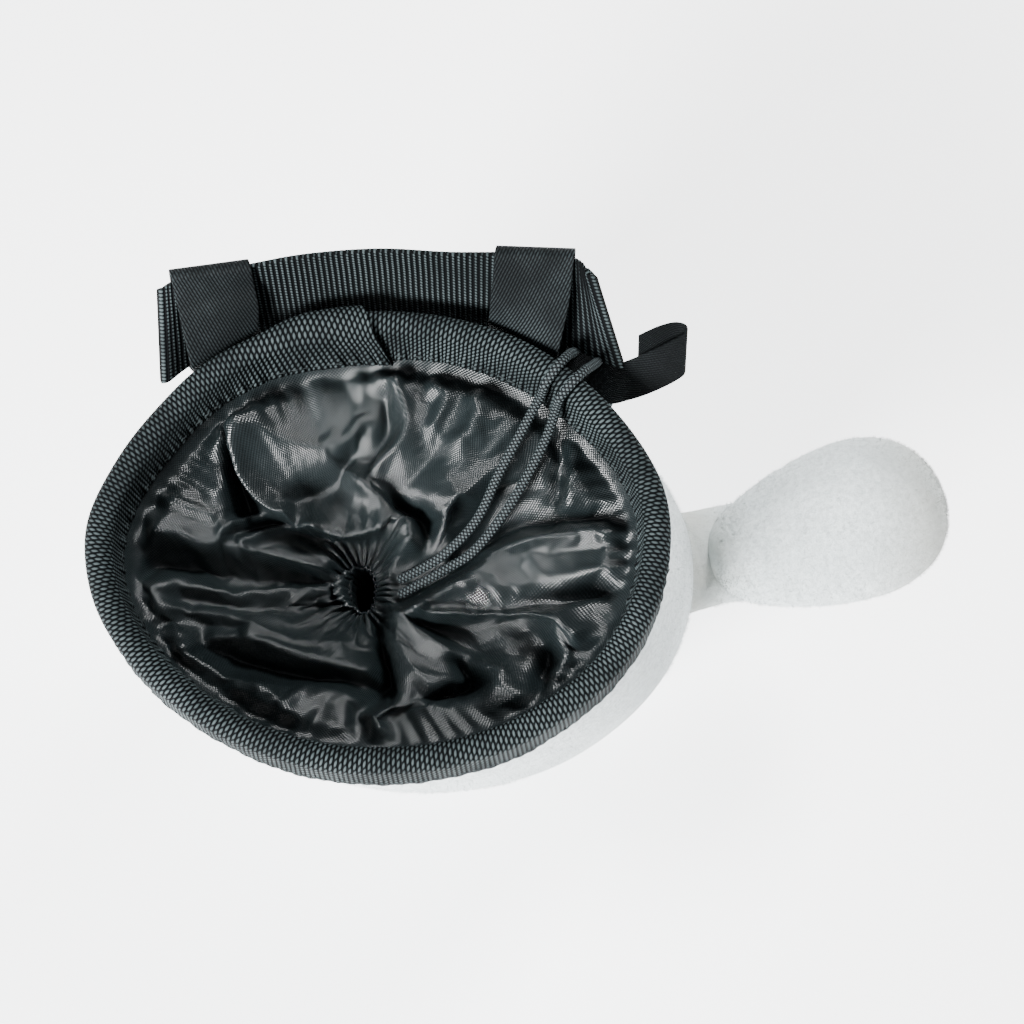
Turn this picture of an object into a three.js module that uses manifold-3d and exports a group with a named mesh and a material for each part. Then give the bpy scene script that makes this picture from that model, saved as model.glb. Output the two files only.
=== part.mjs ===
// A climbing chalk bag: a plush cup with a stuffed limb on its right side, a mouth bound in webbing,
// a thin collar gathered shut by a doubled cord, and at the back a wide band held by two strap loops.
// Millimetres, +Z up. The origin is on the floor under the middle of the mouth, +Y is the bag's back.
import * as THREE from 'three';
import Module from 'manifold-3d';
import { mergeVertices } from 'three/addons/utils/BufferGeometryUtils.js';

// Sizes of the bag
const bagHeight = 145;
const mouthWidth = 146;
const mouthDepth = 122;
const plushWall = 3;
const fitGap = 0.3;

// Sizes of the binding over the mouth's edge
const bindingThick = 1.5;
const bindingOuterLeg = 12;
const bindingInnerLeg = 13;
const bindingOverlapLength = 13;
const bindingMeeting = 94;
const bindingClimb = 1.4;
const plushInBinding = 2.6;

// Sizes of the collar and of the hem that its cord gathers
const collarThick = 0.8;
const collarDrop = 35;
const collarTuck = 3.8;
const collarTurn = 1.5;
const cinchRadius = 6;
const cinchX = -6;
const cinchY = -6;
const hemHeight = 5.4;
const hemThick = 2.4;
const hemRuffle = 1.1;

// Sizes of the cord and its knot
const cordDiameter = 2.5;
const knotRadius = 4;
const knotDrop = 7.6;

// Sizes of the webbing at the back
const bandWidth = 25;
const bandThick = 1.6;
const bandHemLength = 5;
const strapWidth = 20;
const strapThick = 1.2;
const strapSlack = 1.6;
const strapBow = 1.8;
const strapSewnLength = 6;
const leftStrapBearing = 123.5;
const rightStrapBearing = 60.5;
const tapeWidth = 12;
const tapeThick = 0.8;

// Sizes of the stuffed limb
const neckWidth = 29;
const neckHeight = 26;
const neckLength = 62;
const lobeLength = 67;
const lobeWidth = 45;
const lobeHeight = 38;
const limbLevel = 83;
const limbBack = 8;
const neckTurn = 13;
const lobeTurn = 18.5;

// How finely the soft pieces are divided
const bodySides = 48;
const bindingStations = 64;
const collarStations = 72;
const bandSteps = 22;
const limbSides = 20;

const halfTurn = 180;
const fullTurn = 360;
const radians = (degrees) => (degrees * Math.PI) / halfTurn;

// Each row trims the mouth's oval at one bearing; 0 is the right side and 90 the back.
const mouthTrim = [
  { bearing: 10, share: 1.008 },
  { bearing: 38, share: 0.988 },
  { bearing: 65, share: 1 },
  { bearing: 115, share: 0.998 },
  { bearing: 150, share: 0.964 },
  { bearing: 180, share: 1.004 },
  { bearing: 235, share: 0.957 },
  { bearing: 270, share: 0.963 },
  { bearing: 305, share: 0.98 },
  { bearing: 340, share: 0.995 },
];

// How far the two hems of the binding lean out and in, as shares of their legs.
const bindingLean = [
  { bearing: 0, outer: 0.02, inner: 0.06 },
  { bearing: 90, outer: 0.02, inner: 0.2 },
  { bearing: 180, outer: 0.02, inner: 0.06 },
  { bearing: 225, outer: 0.08, inner: 0.04 },
  { bearing: 270, outer: 0.12, inner: 0.02 },
  { bearing: 315, outer: 0.08, inner: 0.04 },
];

// Sections of the plush cup: level as a share of its height, spread and shift as shares of the mouth.
const cupSections = [
  { level: 0, width: 0.685, depth: 0.64, right: 0.164, back: 0.04 },
  { level: 0.018, width: 0.745, depth: 0.705, right: 0.164, back: 0.045 },
  { level: 0.06, width: 0.8, depth: 0.76, right: 0.162, back: 0.055 },
  { level: 0.15, width: 0.875, depth: 0.835, right: 0.158, back: 0.054 },
  { level: 0.28, width: 0.946, depth: 0.905, right: 0.15, back: 0.052 },
  { level: 0.42, width: 0.997, depth: 0.962, right: 0.144, back: 0.046 },
  { level: 0.56, width: 1.022, depth: 0.994, right: 0.132, back: 0.036 },
  { level: 0.67, width: 1.028, depth: 1.004, right: 0.106, back: 0.022 },
  { level: 0.79, width: 1.008, depth: 0.994, right: 0.07, back: 0.01 },
  { level: 0.88, width: 0.984, depth: 0.972, right: 0.026, back: 0.004 },
];

// The collar's folds: where each one lies round the mouth, where it runs between rim and cinch,
// how far it turns on its way in, how wide it is in degrees and how high as a share of the drop.
const collarFolds = [
  { bearing: 128, from: 0.02, to: 0.62, turn: -8, spread: 24, rise: 0.29 },
  { bearing: 118, from: 0.45, to: 0.8, turn: -14, spread: 26, rise: -0.14 },
  { bearing: 92, from: 0, to: 0.7, turn: -16, spread: 7, rise: 0.23 },
  { bearing: 79, from: 0.05, to: 0.8, turn: -10, spread: 6, rise: -0.17 },
  { bearing: 63, from: 0.05, to: 0.75, turn: -6, spread: 12, rise: 0.17 },
  { bearing: 43, from: 0, to: 0.7, turn: 4, spread: 7, rise: -0.12 },
  { bearing: 28, from: 0, to: 0.9, turn: 2, spread: 8, rise: 0.12 },
  { bearing: 8, from: 0.05, to: 0.95, turn: 8, spread: 8, rise: 0.14 },
  { bearing: 352, from: 0.1, to: 1, turn: 6, spread: 5, rise: -0.13 },
  { bearing: 338, from: 0.05, to: 0.9, turn: 4, spread: 8, rise: 0.16 },
  { bearing: 322, from: 0.15, to: 1, turn: 8, spread: 6, rise: -0.2 },
  { bearing: 309, from: 0, to: 0.6, turn: 2, spread: 9, rise: 0.19 },
  { bearing: 296, from: 0.3, to: 0.95, turn: -4, spread: 13, rise: 0.17 },
  { bearing: 282, from: 0, to: 0.5, turn: 0, spread: 7, rise: 0.17 },
  { bearing: 268, from: 0.2, to: 0.75, turn: -4, spread: 18, rise: -0.2 },
  { bearing: 258, from: 0, to: 0.45, turn: 0, spread: 8, rise: 0.19 },
  { bearing: 238, from: 0, to: 0.6, turn: -4, spread: 8, rise: 0.14 },
  { bearing: 224, from: 0.05, to: 0.9, turn: -6, spread: 6, rise: -0.14 },
  { bearing: 208, from: 0, to: 0.95, turn: -4, spread: 8, rise: 0.14 },
  { bearing: 190, from: 0.05, to: 0.95, turn: -2, spread: 6, rise: -0.13 },
  { bearing: 175, from: 0, to: 0.9, turn: 0, spread: 8, rise: 0.17 },
  { bearing: 158, from: 0.1, to: 0.85, turn: 2, spread: 6, rise: -0.14 },
];

// The band's stations round the back: how far its foot stands off the mouth and drops below the
// crest, as shares of its width, its lean from upright, and the plan turn of that lean.
const bandStations = [
  { bearing: 137, off: 0.16, drop: 0.27, lean: 46.5, turn: -5 },
  { bearing: 129, off: 0.18, drop: 0.39, lean: 33.5, turn: -3 },
  { bearing: 119, off: 0.155, drop: 0.5, lean: 22, turn: 0 },
  { bearing: 105, off: 0.115, drop: 0.5, lean: 17.5, turn: 0 },
  { bearing: 90, off: 0.09, drop: 0.47, lean: 17, turn: 0 },
  { bearing: 75, off: 0.08, drop: 0.48, lean: 21, turn: 0 },
  { bearing: 62, off: 0.18, drop: 0.42, lean: 28, turn: -4 },
  { bearing: 52, off: 0.285, drop: 0.34, lean: 37.5, turn: 3 },
  { bearing: 43, off: 0.395, drop: 0.29, lean: 48.5, turn: 24 },
];

// How the band turns back on itself at an end: out from the face and on along the run, in fold radii.
const hemFold = [
  { lift: 0.3, ahead: 0.7 },
  { lift: 1, ahead: 1 },
  { lift: 1.7, ahead: 0.7 },
  { lift: 2, ahead: 0 },
];

// The narrow tape's middle line from under the band to its curled end: right and back as shares of the
// mouth's half width and depth, drop as a share of the tape's width, and its lean from upright.
const tapeRoute = [
  { right: 0.65, back: 0.905, drop: 1.5, lean: 74 },
  { right: 0.69, back: 0.872, drop: 1.5, lean: 68 },
  { right: 0.734, back: 0.836, drop: 1.47, lean: 60 },
  { right: 0.778, back: 0.782, drop: 1.5, lean: 50 },
  { right: 0.822, back: 0.748, drop: 1.36, lean: 42 },
  { right: 0.874, back: 0.734, drop: 0.92, lean: 42 },
  { right: 0.925, back: 0.741, drop: 0.67, lean: 46 },
  { right: 0.986, back: 0.764, drop: 0.5, lean: 48 },
  { right: 1.038, back: 0.793, drop: 0.42, lean: 48 },
  { right: 1.068, back: 0.82, drop: 0.4, lean: 46 },
  { right: 1.068, back: 0.849, drop: 0.4, lean: 45 },
  { right: 1.038, back: 0.862, drop: 0.41, lean: 46 },
  { right: 0.981, back: 0.849, drop: 0.45, lean: 48 },
  { right: 0.904, back: 0.81, drop: 0.53, lean: 50 },
];

// The cord's two strands, from the hem over the binding and down behind the bag to the knot.
const leftStrandRoute = [
  [3.2, -4.4, 114.6],
  [8.7, -2.4, 117.6],
  [15.6, 1.2, 120.8],
  [24, 9.3, 124.5],
  [30, 20.6, 129.5],
  [35.6, 30, 134.4],
  [38.8, 35.2, 138],
  [41, 38.3, 141.6],
  [41.9, 39.8, 145.3],
  [44.4, 43.1, 147],
  [46.8, 46.6, 145.3],
  [48.2, 49, 142.2],
  [49, 50.8, 138],
  [50.2, 53.3, 134.2],
  [51.8, 57, 132.8],
  [53.2, 59.6, 130],
  [54.3, 61, 125.6],
  [55.2, 61.4, 118],
  [56, 61, 108],
  [56.8, 60.2, 98],
  [57.6, 59.4, 88.6],
];
const rightStrandRoute = [
  [3.4, -8.4, 114],
  [9.9, -5.4, 116.8],
  [16.5, -2.2, 119.4],
  [22.6, 1.2, 121.6],
  [30.2, 9.4, 125.2],
  [36.9, 19.4, 129],
  [42, 28.4, 134],
  [43.8, 32.4, 137.6],
  [44.9, 35.2, 141.6],
  [45.9, 36.6, 145.3],
  [48.8, 39.7, 147],
  [51.6, 43.1, 145.3],
  [53.2, 45.3, 142],
  [54.6, 47.4, 138.6],
  [55.8, 49.4, 135.8],
  [57, 51.6, 134],
  [58.6, 53.9, 132.2],
  [60, 56, 129.2],
  [61, 57.4, 123.6],
  [61.8, 58.2, 114],
  [62, 58.6, 104],
  [61.9, 58.8, 96],
  [61.4, 59, 88.6],
];

const halfWidth = mouthWidth / 2;
const halfDepth = mouthDepth / 2;

// The angle between two bearings, the short way round.
function apart(one, other) {
  const turned = Math.abs(one - other) % fullTurn;
  return Math.min(turned, fullTurn - turned);
}

// Blends a column of a table that goes round the mouth, at any bearing.
function around(table, column, bearing) {
  const turned = ((bearing % fullTurn) + fullTurn) % fullTurn;
  let before = table[table.length - 1];
  let after = table[0];
  let start = before.bearing - fullTurn;
  let end = after.bearing;
  for (let row = 0; row < table.length; row += 1) {
    if (turned >= table[row].bearing) {
      before = table[row];
      start = before.bearing;
      after = table[(row + 1) % table.length];
      end = row + 1 < table.length ? after.bearing : after.bearing + fullTurn;
    }
  }
  const part = THREE.MathUtils.smoothstep(turned, start, end);
  return THREE.MathUtils.lerp(before[column], after[column], part);
}

// The mouth's outer edge in plan.
function mouthPoint(bearing) {
  const trim = around(mouthTrim, 'share', bearing);
  const x = halfWidth * trim * Math.cos(radians(bearing));
  const y = halfDepth * trim * Math.sin(radians(bearing));
  return new THREE.Vector2(x, y);
}

// The outward direction of the mouth's edge in plan.
function mouthNormal(bearing) {
  const ahead = mouthPoint(bearing + 1);
  const behind = mouthPoint(bearing - 1);
  const along = ahead.sub(behind).normalize();
  return new THREE.Vector2(along.y, -along.x);
}

// A point off the mouth's edge: out is outwards in plan, drop is down from the binding's crest.
function fromMouth(bearing, out, drop) {
  const edge = mouthPoint(bearing);
  edge.addScaledVector(mouthNormal(bearing), out);
  return new THREE.Vector3(edge.x, edge.y, bagHeight - drop);
}

// A mesh geometry from shared points and triangles, turned so that its faces point outwards.
function closedGeometry(points, triangles) {
  let volume = 0;
  for (let i = 0; i < triangles.length; i += 3) {
    const [a, b, c] = [points[triangles[i]], points[triangles[i + 1]], points[triangles[i + 2]]];
    volume += a.dot(new THREE.Vector3().crossVectors(b, c));
  }
  const facing = volume > 0 ? triangles : triangles.slice().reverse();
  const geometry = new THREE.BufferGeometry();
  geometry.setAttribute('position', new THREE.Float32BufferAttribute(points.flatMap((p) => p.toArray()), 3));
  geometry.setIndex(facing);
  geometry.computeVertexNormals();
  return geometry;
}

// A closed body through rings of points, each end closed on its ring's middle.
function loft(rings) {
  const sides = rings[0].length;
  const points = rings.flat();
  const triangles = [];
  for (let ring = 0; ring + 1 < rings.length; ring += 1) {
    for (let side = 0; side < sides; side += 1) {
      const next = (side + 1) % sides;
      const a = ring * sides + side;
      const b = ring * sides + next;
      triangles.push(a, b, b + sides, a, b + sides, a + sides);
    }
  }
  const addEnd = (ring, flipped) => {
    const middle = new THREE.Vector3();
    rings[ring].forEach((p) => middle.addScaledVector(p, 1 / sides));
    const centre = points.push(middle) - 1;
    for (let side = 0; side < sides; side += 1) {
      const a = ring * sides + side;
      const b = ring * sides + ((side + 1) % sides);
      triangles.push(...(flipped ? [centre, a, b] : [centre, b, a]));
    }
  };
  addEnd(0, false);
  addEnd(rings.length - 1, true);
  return closedGeometry(points, triangles);
}

// A closed body between two grids of points with rows along the run; a ringed one joins its ends.
function slab(front, back, ringed) {
  const rows = front.length;
  const columns = front[0].length;
  const points = [...front.flat(), ...back.flat()];
  const at = (side, row, column) => (side * rows + (row % rows)) * columns + column;
  const triangles = [];
  const quad = (a, b, c, d) => triangles.push(a, b, c, a, c, d);
  const spans = ringed ? rows : rows - 1;
  for (let row = 0; row < spans; row += 1) {
    for (let column = 0; column + 1 < columns; column += 1) {
      quad(at(0, row, column), at(0, row + 1, column), at(0, row + 1, column + 1), at(0, row, column + 1));
      quad(at(1, row, column), at(1, row, column + 1), at(1, row + 1, column + 1), at(1, row + 1, column));
    }
    const last = columns - 1;
    quad(at(0, row, 0), at(1, row, 0), at(1, row + 1, 0), at(0, row + 1, 0));
    quad(at(0, row, last), at(0, row + 1, last), at(1, row + 1, last), at(1, row, last));
  }
  if (!ringed) {
    const last = rows - 1;
    for (let column = 0; column + 1 < columns; column += 1) {
      quad(at(0, 0, column), at(0, 0, column + 1), at(1, 0, column + 1), at(1, 0, column));
      quad(at(0, last, column), at(1, last, column), at(1, last, column + 1), at(0, last, column + 1));
    }
  }
  return closedGeometry(points, triangles);
}

// A sheet of even thickness round a grid of middle points.
function sheet(grid, thickness, ringed) {
  const rows = grid.length;
  const columns = grid[0].length;
  const pick = (row, column) => {
    const wrapped = ringed ? (row + rows) % rows : THREE.MathUtils.clamp(row, 0, rows - 1);
    return grid[wrapped][THREE.MathUtils.clamp(column, 0, columns - 1)];
  };
  const front = [];
  const back = [];
  for (let row = 0; row < rows; row += 1) {
    front.push([]);
    back.push([]);
    for (let column = 0; column < columns; column += 1) {
      const along = pick(row + 1, column).clone().sub(pick(row - 1, column));
      const across = pick(row, column + 1).clone().sub(pick(row, column - 1));
      const normal = along.cross(across).normalize();
      front[row].push(grid[row][column].clone().addScaledVector(normal, thickness / 2));
      back[row].push(grid[row][column].clone().addScaledVector(normal, -thickness / 2));
    }
  }
  return slab(front, back, ringed);
}

// A point of the plush cup's outer wall at a level, given as a share of its height.
function cupPoint(level, bearing, grown) {
  let lower = cupSections[0];
  let upper = cupSections[1];
  for (let row = 0; row + 1 < cupSections.length; row += 1) {
    if (level >= cupSections[row].level) {
      lower = cupSections[row];
      upper = cupSections[row + 1];
    }
  }
  const part = THREE.MathUtils.clamp((level - lower.level) / (upper.level - lower.level), 0, 1);
  const mix = (column) => THREE.MathUtils.lerp(lower[column], upper[column], part);
  const edge = mouthPoint(bearing);
  const x = mix('right') * halfWidth + edge.x * mix('width');
  const y = mix('back') * halfDepth + edge.y * mix('depth');
  const away = new THREE.Vector2(edge.x / halfWidth ** 2, edge.y / halfDepth ** 2).normalize();
  return new THREE.Vector3(x + away.x * grown, y + away.y * grown, level * bagHeight);
}

// The plush cup's outer ring at a level.
function cupRing(level, grown) {
  const ring = [];
  for (let side = 0; side < bodySides; side += 1) {
    ring.push(cupPoint(level, (fullTurn * side) / bodySides, grown));
  }
  return ring;
}

// Where the layers in the binding lie, counted inwards from the mouth's outer edge.
const plushOutside = bindingThick + fitGap;
const plushInside = plushOutside + plushInBinding;
const collarMiddle = plushInside + fitGap + collarThick / 2;
const crestWidth = collarMiddle + collarThick / 2 + fitGap + bindingThick;
const crestRadius = crestWidth / 2;

// The plush cup, hollow and open at the top, with its edge held in the binding.
function bodyShell() {
  const ringIn = (inset, drop) => {
    const ring = [];
    for (let side = 0; side < bodySides; side += 1) {
      ring.push(fromMouth((fullTurn * side) / bodySides, -inset, drop));
    }
    return ring;
  };
  const legClearance = bindingOuterLeg + fitGap;
  const outer = cupSections.map((section) => cupRing(section.level, 0));
  outer.push(ringIn(plushOutside, legClearance), ringIn(plushOutside, crestRadius + fitGap));
  const floorShare = plushWall / bagHeight;
  const inner = cupSections.map((section) => {
    const ring = cupRing(section.level, -plushWall);
    ring.forEach((p) => p.setZ(plushWall + p.z * (1 - floorShare)));
    return ring;
  });
  inner.push(ringIn(plushInside, legClearance), ringIn(plushInside, crestRadius + fitGap));
  return loft([...outer, ...inner.reverse()]);
}

// The binding's outline across the run, from its outer hem over the crest to its inner hem.
function bindingOutline(bearing, grown) {
  const outerLean = around(bindingLean, 'outer', bearing) * bindingOuterLeg;
  const innerLean = around(bindingLean, 'inner', bearing) * bindingInnerLeg;
  const radius = crestRadius + grown;
  const outline = [new THREE.Vector2(radius + outerLean, bindingOuterLeg)];
  for (let step = 0; step <= 4; step += 1) {
    const angle = (Math.PI * step) / 4;
    outline.push(new THREE.Vector2(radius * Math.cos(angle), crestRadius - radius * Math.sin(angle)));
  }
  outline.push(new THREE.Vector2(-radius - innerLean, bindingInnerLeg));
  return outline.map((p) => new THREE.Vector2(p.x - crestRadius, p.y));
}

// The webbing folded over the mouth's edge; its last stretch climbs over its first.
function rimBinding() {
  const overlap = (bindingOverlapLength / halfWidth) * (halfTurn / Math.PI);
  const climb = overlap * bindingClimb;
  const lift = bindingThick + fitGap;
  const travel = fullTurn + overlap;
  const front = [];
  const back = [];
  for (let station = 0; station <= bindingStations; station += 1) {
    const gone = (travel * station) / bindingStations;
    const bearing = bindingMeeting + overlap - gone;
    const raised = lift * THREE.MathUtils.smoothstep(gone, fullTurn - climb, fullTurn - fitGap);
    const place = (p) => fromMouth(bearing, p.x, p.y);
    front.push(bindingOutline(bearing, raised).map(place));
    back.push(bindingOutline(bearing, raised - bindingThick).map(place));
  }
  return slab(front, back, false);
}

// How far the collar lies below the crest, between its turn under the rim (0) and the cinch (1).
function collarDepth(bearing, reach) {
  const shoulder = bindingInnerLeg + collarTuck;
  let depth = THREE.MathUtils.lerp(shoulder, collarDrop, reach ** 0.85);
  for (const fold of collarFolds) {
    const middle = fold.bearing + fold.turn * reach;
    const away = apart(bearing, middle);
    const window = THREE.MathUtils.clamp((reach - fold.from) / (fold.to - fold.from), 0, 1);
    depth -= collarDrop * fold.rise * Math.sin(Math.PI * window) * Math.exp(-((away / fold.spread) ** 2));
  }
  return depth;
}

// The thin collar: held in the binding, turned in under its inner hem, gathered to the cinch.
function closureCollar() {
  const hemClear = cinchRadius + hemThick / 2 + hemRuffle + fitGap;
  const reaches = [0, 0.12, 0.24, 0.36, 0.48, 0.6, 0.72, 0.84, 1];
  const grid = [];
  for (let station = 0; station < collarStations; station += 1) {
    const bearing = (fullTurn * station) / collarStations;
    const hemLean = around(bindingLean, 'inner', bearing) * bindingInnerLeg;
    const row = [
      fromMouth(bearing, -collarMiddle, crestRadius + fitGap),
      fromMouth(bearing, -collarMiddle - hemLean * 0.9, bindingInnerLeg),
    ];
    const turnIn = crestWidth + hemLean + collarTurn;
    const edge = fromMouth(bearing, -turnIn, 0);
    const angle = radians(bearing);
    const goal = new THREE.Vector3(cinchX, cinchY, 0);
    goal.x += hemClear * Math.cos(angle);
    goal.y += hemClear * Math.sin(angle);
    for (const reach of reaches) {
      const point = edge.clone().lerp(goal, reach);
      point.z = bagHeight - collarDepth(bearing, reach);
      row.push(point);
    }
    grid.push(row);
  }
  return sheet(grid, collarThick, true);
}

// The ruffled casing round the cinch, a closed ring with a wavy run.
function collarHem() {
  const stations = 48;
  const sides = 6;
  const ruffles = 8;
  const points = [];
  const triangles = [];
  for (let station = 0; station < stations; station += 1) {
    const angle = (2 * Math.PI * station) / stations;
    const radius = cinchRadius + hemRuffle * Math.sin(ruffles * angle);
    const level = bagHeight - collarDrop + hemRuffle * Math.cos(ruffles * angle);
    for (let side = 0; side < sides; side += 1) {
      const turn = (2 * Math.PI * side) / sides;
      const out = radius + (hemThick / 2) * Math.cos(turn);
      const z = level + (hemHeight / 2) * Math.sin(turn);
      points.push(new THREE.Vector3(cinchX + out * Math.cos(angle), cinchY + out * Math.sin(angle), z));
      const a = station * sides + side;
      const b = station * sides + ((side + 1) % sides);
      const c = ((station + 1) % stations) * sides + ((side + 1) % sides);
      const d = ((station + 1) % stations) * sides + side;
      triangles.push(a, b, c, a, c, d);
    }
  }
  return closedGeometry(points, triangles);
}

// One strand of the cord along its route.
function cordStrand(route) {
  const sides = 8;
  const corners = [];
  for (let side = 0; side < sides; side += 1) {
    const angle = (2 * Math.PI * side) / sides;
    corners.push(new THREE.Vector2(Math.cos(angle), Math.sin(angle)).multiplyScalar(cordDiameter / 2));
  }
  const section = new THREE.Shape(corners);
  const path = new THREE.CatmullRomCurve3(route.map((p) => new THREE.Vector3(...p)), false, 'centripetal');
  const steps = Math.round(path.getLength() / (cordDiameter * 1.6));
  const tube = new THREE.ExtrudeGeometry(section, { steps, bevelEnabled: false, extrudePath: path });
  tube.deleteAttribute('normal');
  tube.deleteAttribute('uv');
  const merged = mergeVertices(tube, 1e-4);
  merged.computeVertexNormals();
  return merged;
}

// The plain knot that ends both strands.
function drawcordKnot() {
  const knot = new THREE.TorusKnotGeometry(knotRadius, cordDiameter * 0.6, 48, 6, 2, 3);
  knot.deleteAttribute('normal');
  knot.deleteAttribute('uv');
  const merged = mergeVertices(knot, 1e-4);
  merged.computeVertexNormals();
  return merged;
}

// The band's foot and the direction up across it at a bearing, blended between its stations.
function bandEdge(bearing) {
  let row = 0;
  while (row < bandStations.length - 2 && bearing < bandStations[row + 1].bearing) {
    row += 1;
  }
  const [a, b] = [bandStations[row], bandStations[row + 1]];
  const part = (bearing - a.bearing) / (b.bearing - a.bearing);
  const mix = (column) => THREE.MathUtils.lerp(a[column], b[column], part);
  const foot = fromMouth(bearing, mix('off') * bandWidth + bandThick / 2, mix('drop') * bandWidth);
  const lean = radians(mix('lean'));
  const turn = radians(90 + mix('turn'));
  const plan = new THREE.Vector2(Math.cos(turn), Math.sin(turn)).multiplyScalar(Math.sin(lean));
  const up = new THREE.Vector3(plan.x, plan.y, Math.cos(lean));
  return { foot, head: foot.clone().addScaledVector(up, bandWidth), up };
}

// The band's section with its direction along the run, towards the right, and its outward face.
function bandSection(bearing) {
  const { foot, head, up } = bandEdge(bearing);
  const before = bandEdge(bearing + 1);
  const after = bandEdge(bearing - 1);
  const alongFoot = after.foot.sub(before.foot).normalize();
  const alongHead = after.head.sub(before.head).normalize();
  const along = alongFoot.clone().add(alongHead).normalize();
  const face = new THREE.Vector3().crossVectors(up, along).normalize();
  return { foot, head, up, along, alongFoot, alongHead, face };
}

// The wide band across the back, with each end folded back on its outer side.
function backBand() {
  const first = bandStations[0].bearing;
  const last = bandStations[bandStations.length - 1].bearing;
  const hemTurn = ((bandHemLength / halfWidth) * halfTurn) / Math.PI;
  const foldRadius = (bandThick + fitGap) / 2;
  const line = hemFold.map(({ lift, ahead }) => ({ bearing: first, lift, ahead: -ahead })).reverse();
  line.unshift({ bearing: first - hemTurn, lift: 2, ahead: 0 });
  for (let step = 0; step <= bandSteps; step += 1) {
    line.push({ bearing: THREE.MathUtils.lerp(first, last, step / bandSteps), lift: 0, ahead: 0 });
  }
  hemFold.forEach(({ lift, ahead }) => line.push({ bearing: last, lift, ahead }));
  line.push({ bearing: last + hemTurn, lift: 2, ahead: 0 });
  const grid = line.map(({ bearing, lift, ahead }) => {
    const { foot, head, along, face } = bandSection(bearing);
    const shift = face.multiplyScalar(lift * foldRadius).addScaledVector(along, ahead * foldRadius);
    return [foot.add(shift), head.add(shift)];
  });
  return sheet(grid, bandThick, false);
}

// A strip of webbing along a line of middle points, each with its direction across.
function strip(stations, width, thickness) {
  const grid = stations.map(({ middle, across }) => [
    middle.clone().addScaledVector(across, -width / 2),
    middle.clone().addScaledVector(across, width / 2),
  ]);
  return sheet(grid, thickness, false);
}

// A loop of webbing sewn to the cup's back: up past the binding, over the band and back under it.
function strapLoop(bearing) {
  const { foot, head, up, alongFoot, alongHead, face } = bandSection(bearing);
  const normal = mouthNormal(bearing);
  const alongWall = new THREE.Vector3(normal.y, -normal.x, 0);
  const hug = bandThick / 2 + strapBow + strapThick / 2;
  const overTop = fitGap * 2 + strapThick / 2;
  const onBand = (share, side, lift) => ({
    middle: foot.clone().lerp(head, share).addScaledVector(face, side).addScaledVector(up, lift),
    across: alongFoot.clone().lerp(alongHead, share).normalize(),
  });
  const sewn = fitGap + strapThick / 2;
  const flare = around(bindingLean, 'outer', bearing) * bindingOuterLeg;
  const onBinding = (drop) => ({ middle: fromMouth(bearing, sewn + flare, drop), across: alongWall });
  const onCup = (drop) => ({ middle: cupPoint(1 - drop / bagHeight, bearing, sewn), across: alongWall });
  const returnDrop = bindingOuterLeg + strapThick * 3;
  const stations = [
    onBinding(bindingOuterLeg - fitGap),
    onBinding(bindingOuterLeg / 2),
    onBinding(crestRadius),
    onBand(0.6, -hug - strapSlack, 0),
    onBand(0.82, -hug - strapSlack * 0.5, 0),
    onBand(1, -hug, -strapThick),
    onBand(1, -hug * 0.8, overTop * 0.7),
    onBand(1, 0, overTop),
    onBand(1, hug * 0.8, overTop * 0.7),
    onBand(1, hug, -strapThick),
    onBand(0.66, hug, 0),
    onBand(0.33, hug, 0),
    onBand(0, hug, strapThick),
    onBand(0, hug * 0.8, -overTop),
    onBand(0, 0, -overTop * 1.5),
    onCup(returnDrop),
    onCup(returnDrop + strapSewnLength / 2),
    onCup(returnDrop + strapSewnLength),
  ];
  return strip(stations, strapWidth, strapThick);
}

// The narrow tape that leaves the mouth's side and curls back at its end.
function curledTape() {
  const stations = tapeRoute.map((row) => {
    const lean = radians(row.lean);
    return {
      middle: new THREE.Vector3(row.right * halfWidth, row.back * halfDepth, bagHeight - row.drop * tapeWidth),
      across: new THREE.Vector3(0, Math.sin(lean), Math.cos(lean)),
    };
  });
  return strip(stations, tapeWidth, tapeThick);
}

// A manifold solid from a closed geometry, and a geometry from a manifold solid.
const solids = await Module();
solids.setup();

function toSolid(geometry) {
  const vertProperties = new Float32Array(geometry.getAttribute('position').array);
  const triVerts = new Uint32Array(geometry.getIndex().array);
  return new solids.Manifold(new solids.Mesh({ numProp: 3, vertProperties, triVerts }));
}

function fromSolid(solid) {
  const mesh = solid.getMesh();
  const geometry = new THREE.BufferGeometry();
  geometry.setAttribute('position', new THREE.Float32BufferAttribute(Array.from(mesh.vertProperties), 3));
  geometry.setIndex(Array.from(mesh.triVerts));
  geometry.computeVertexNormals();
  return geometry;
}

// A rounded stuffed form along the limb: rows give its place along, its girth and its lift.
function stuffedForm(rows, start, turn, length, width, height) {
  const along = new THREE.Vector3(Math.cos(radians(turn)), Math.sin(radians(turn)), 0);
  const side = new THREE.Vector3(-along.y, along.x, 0);
  const rings = rows.map((row) => {
    const ring = [];
    const middle = start.clone().addScaledVector(along, row.along * length);
    middle.z += row.lift * height;
    middle.addScaledVector(side, row.aside * width);
    for (let step = 0; step < limbSides; step += 1) {
      const angle = (2 * Math.PI * step) / limbSides;
      const across = (width / 2) * row.girth * Math.cos(angle);
      const point = middle.clone().addScaledVector(side, across);
      point.z += (height / 2) * row.girth * Math.sin(angle);
      ring.push(point);
    }
    return ring;
  });
  return loft(rings);
}

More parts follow.
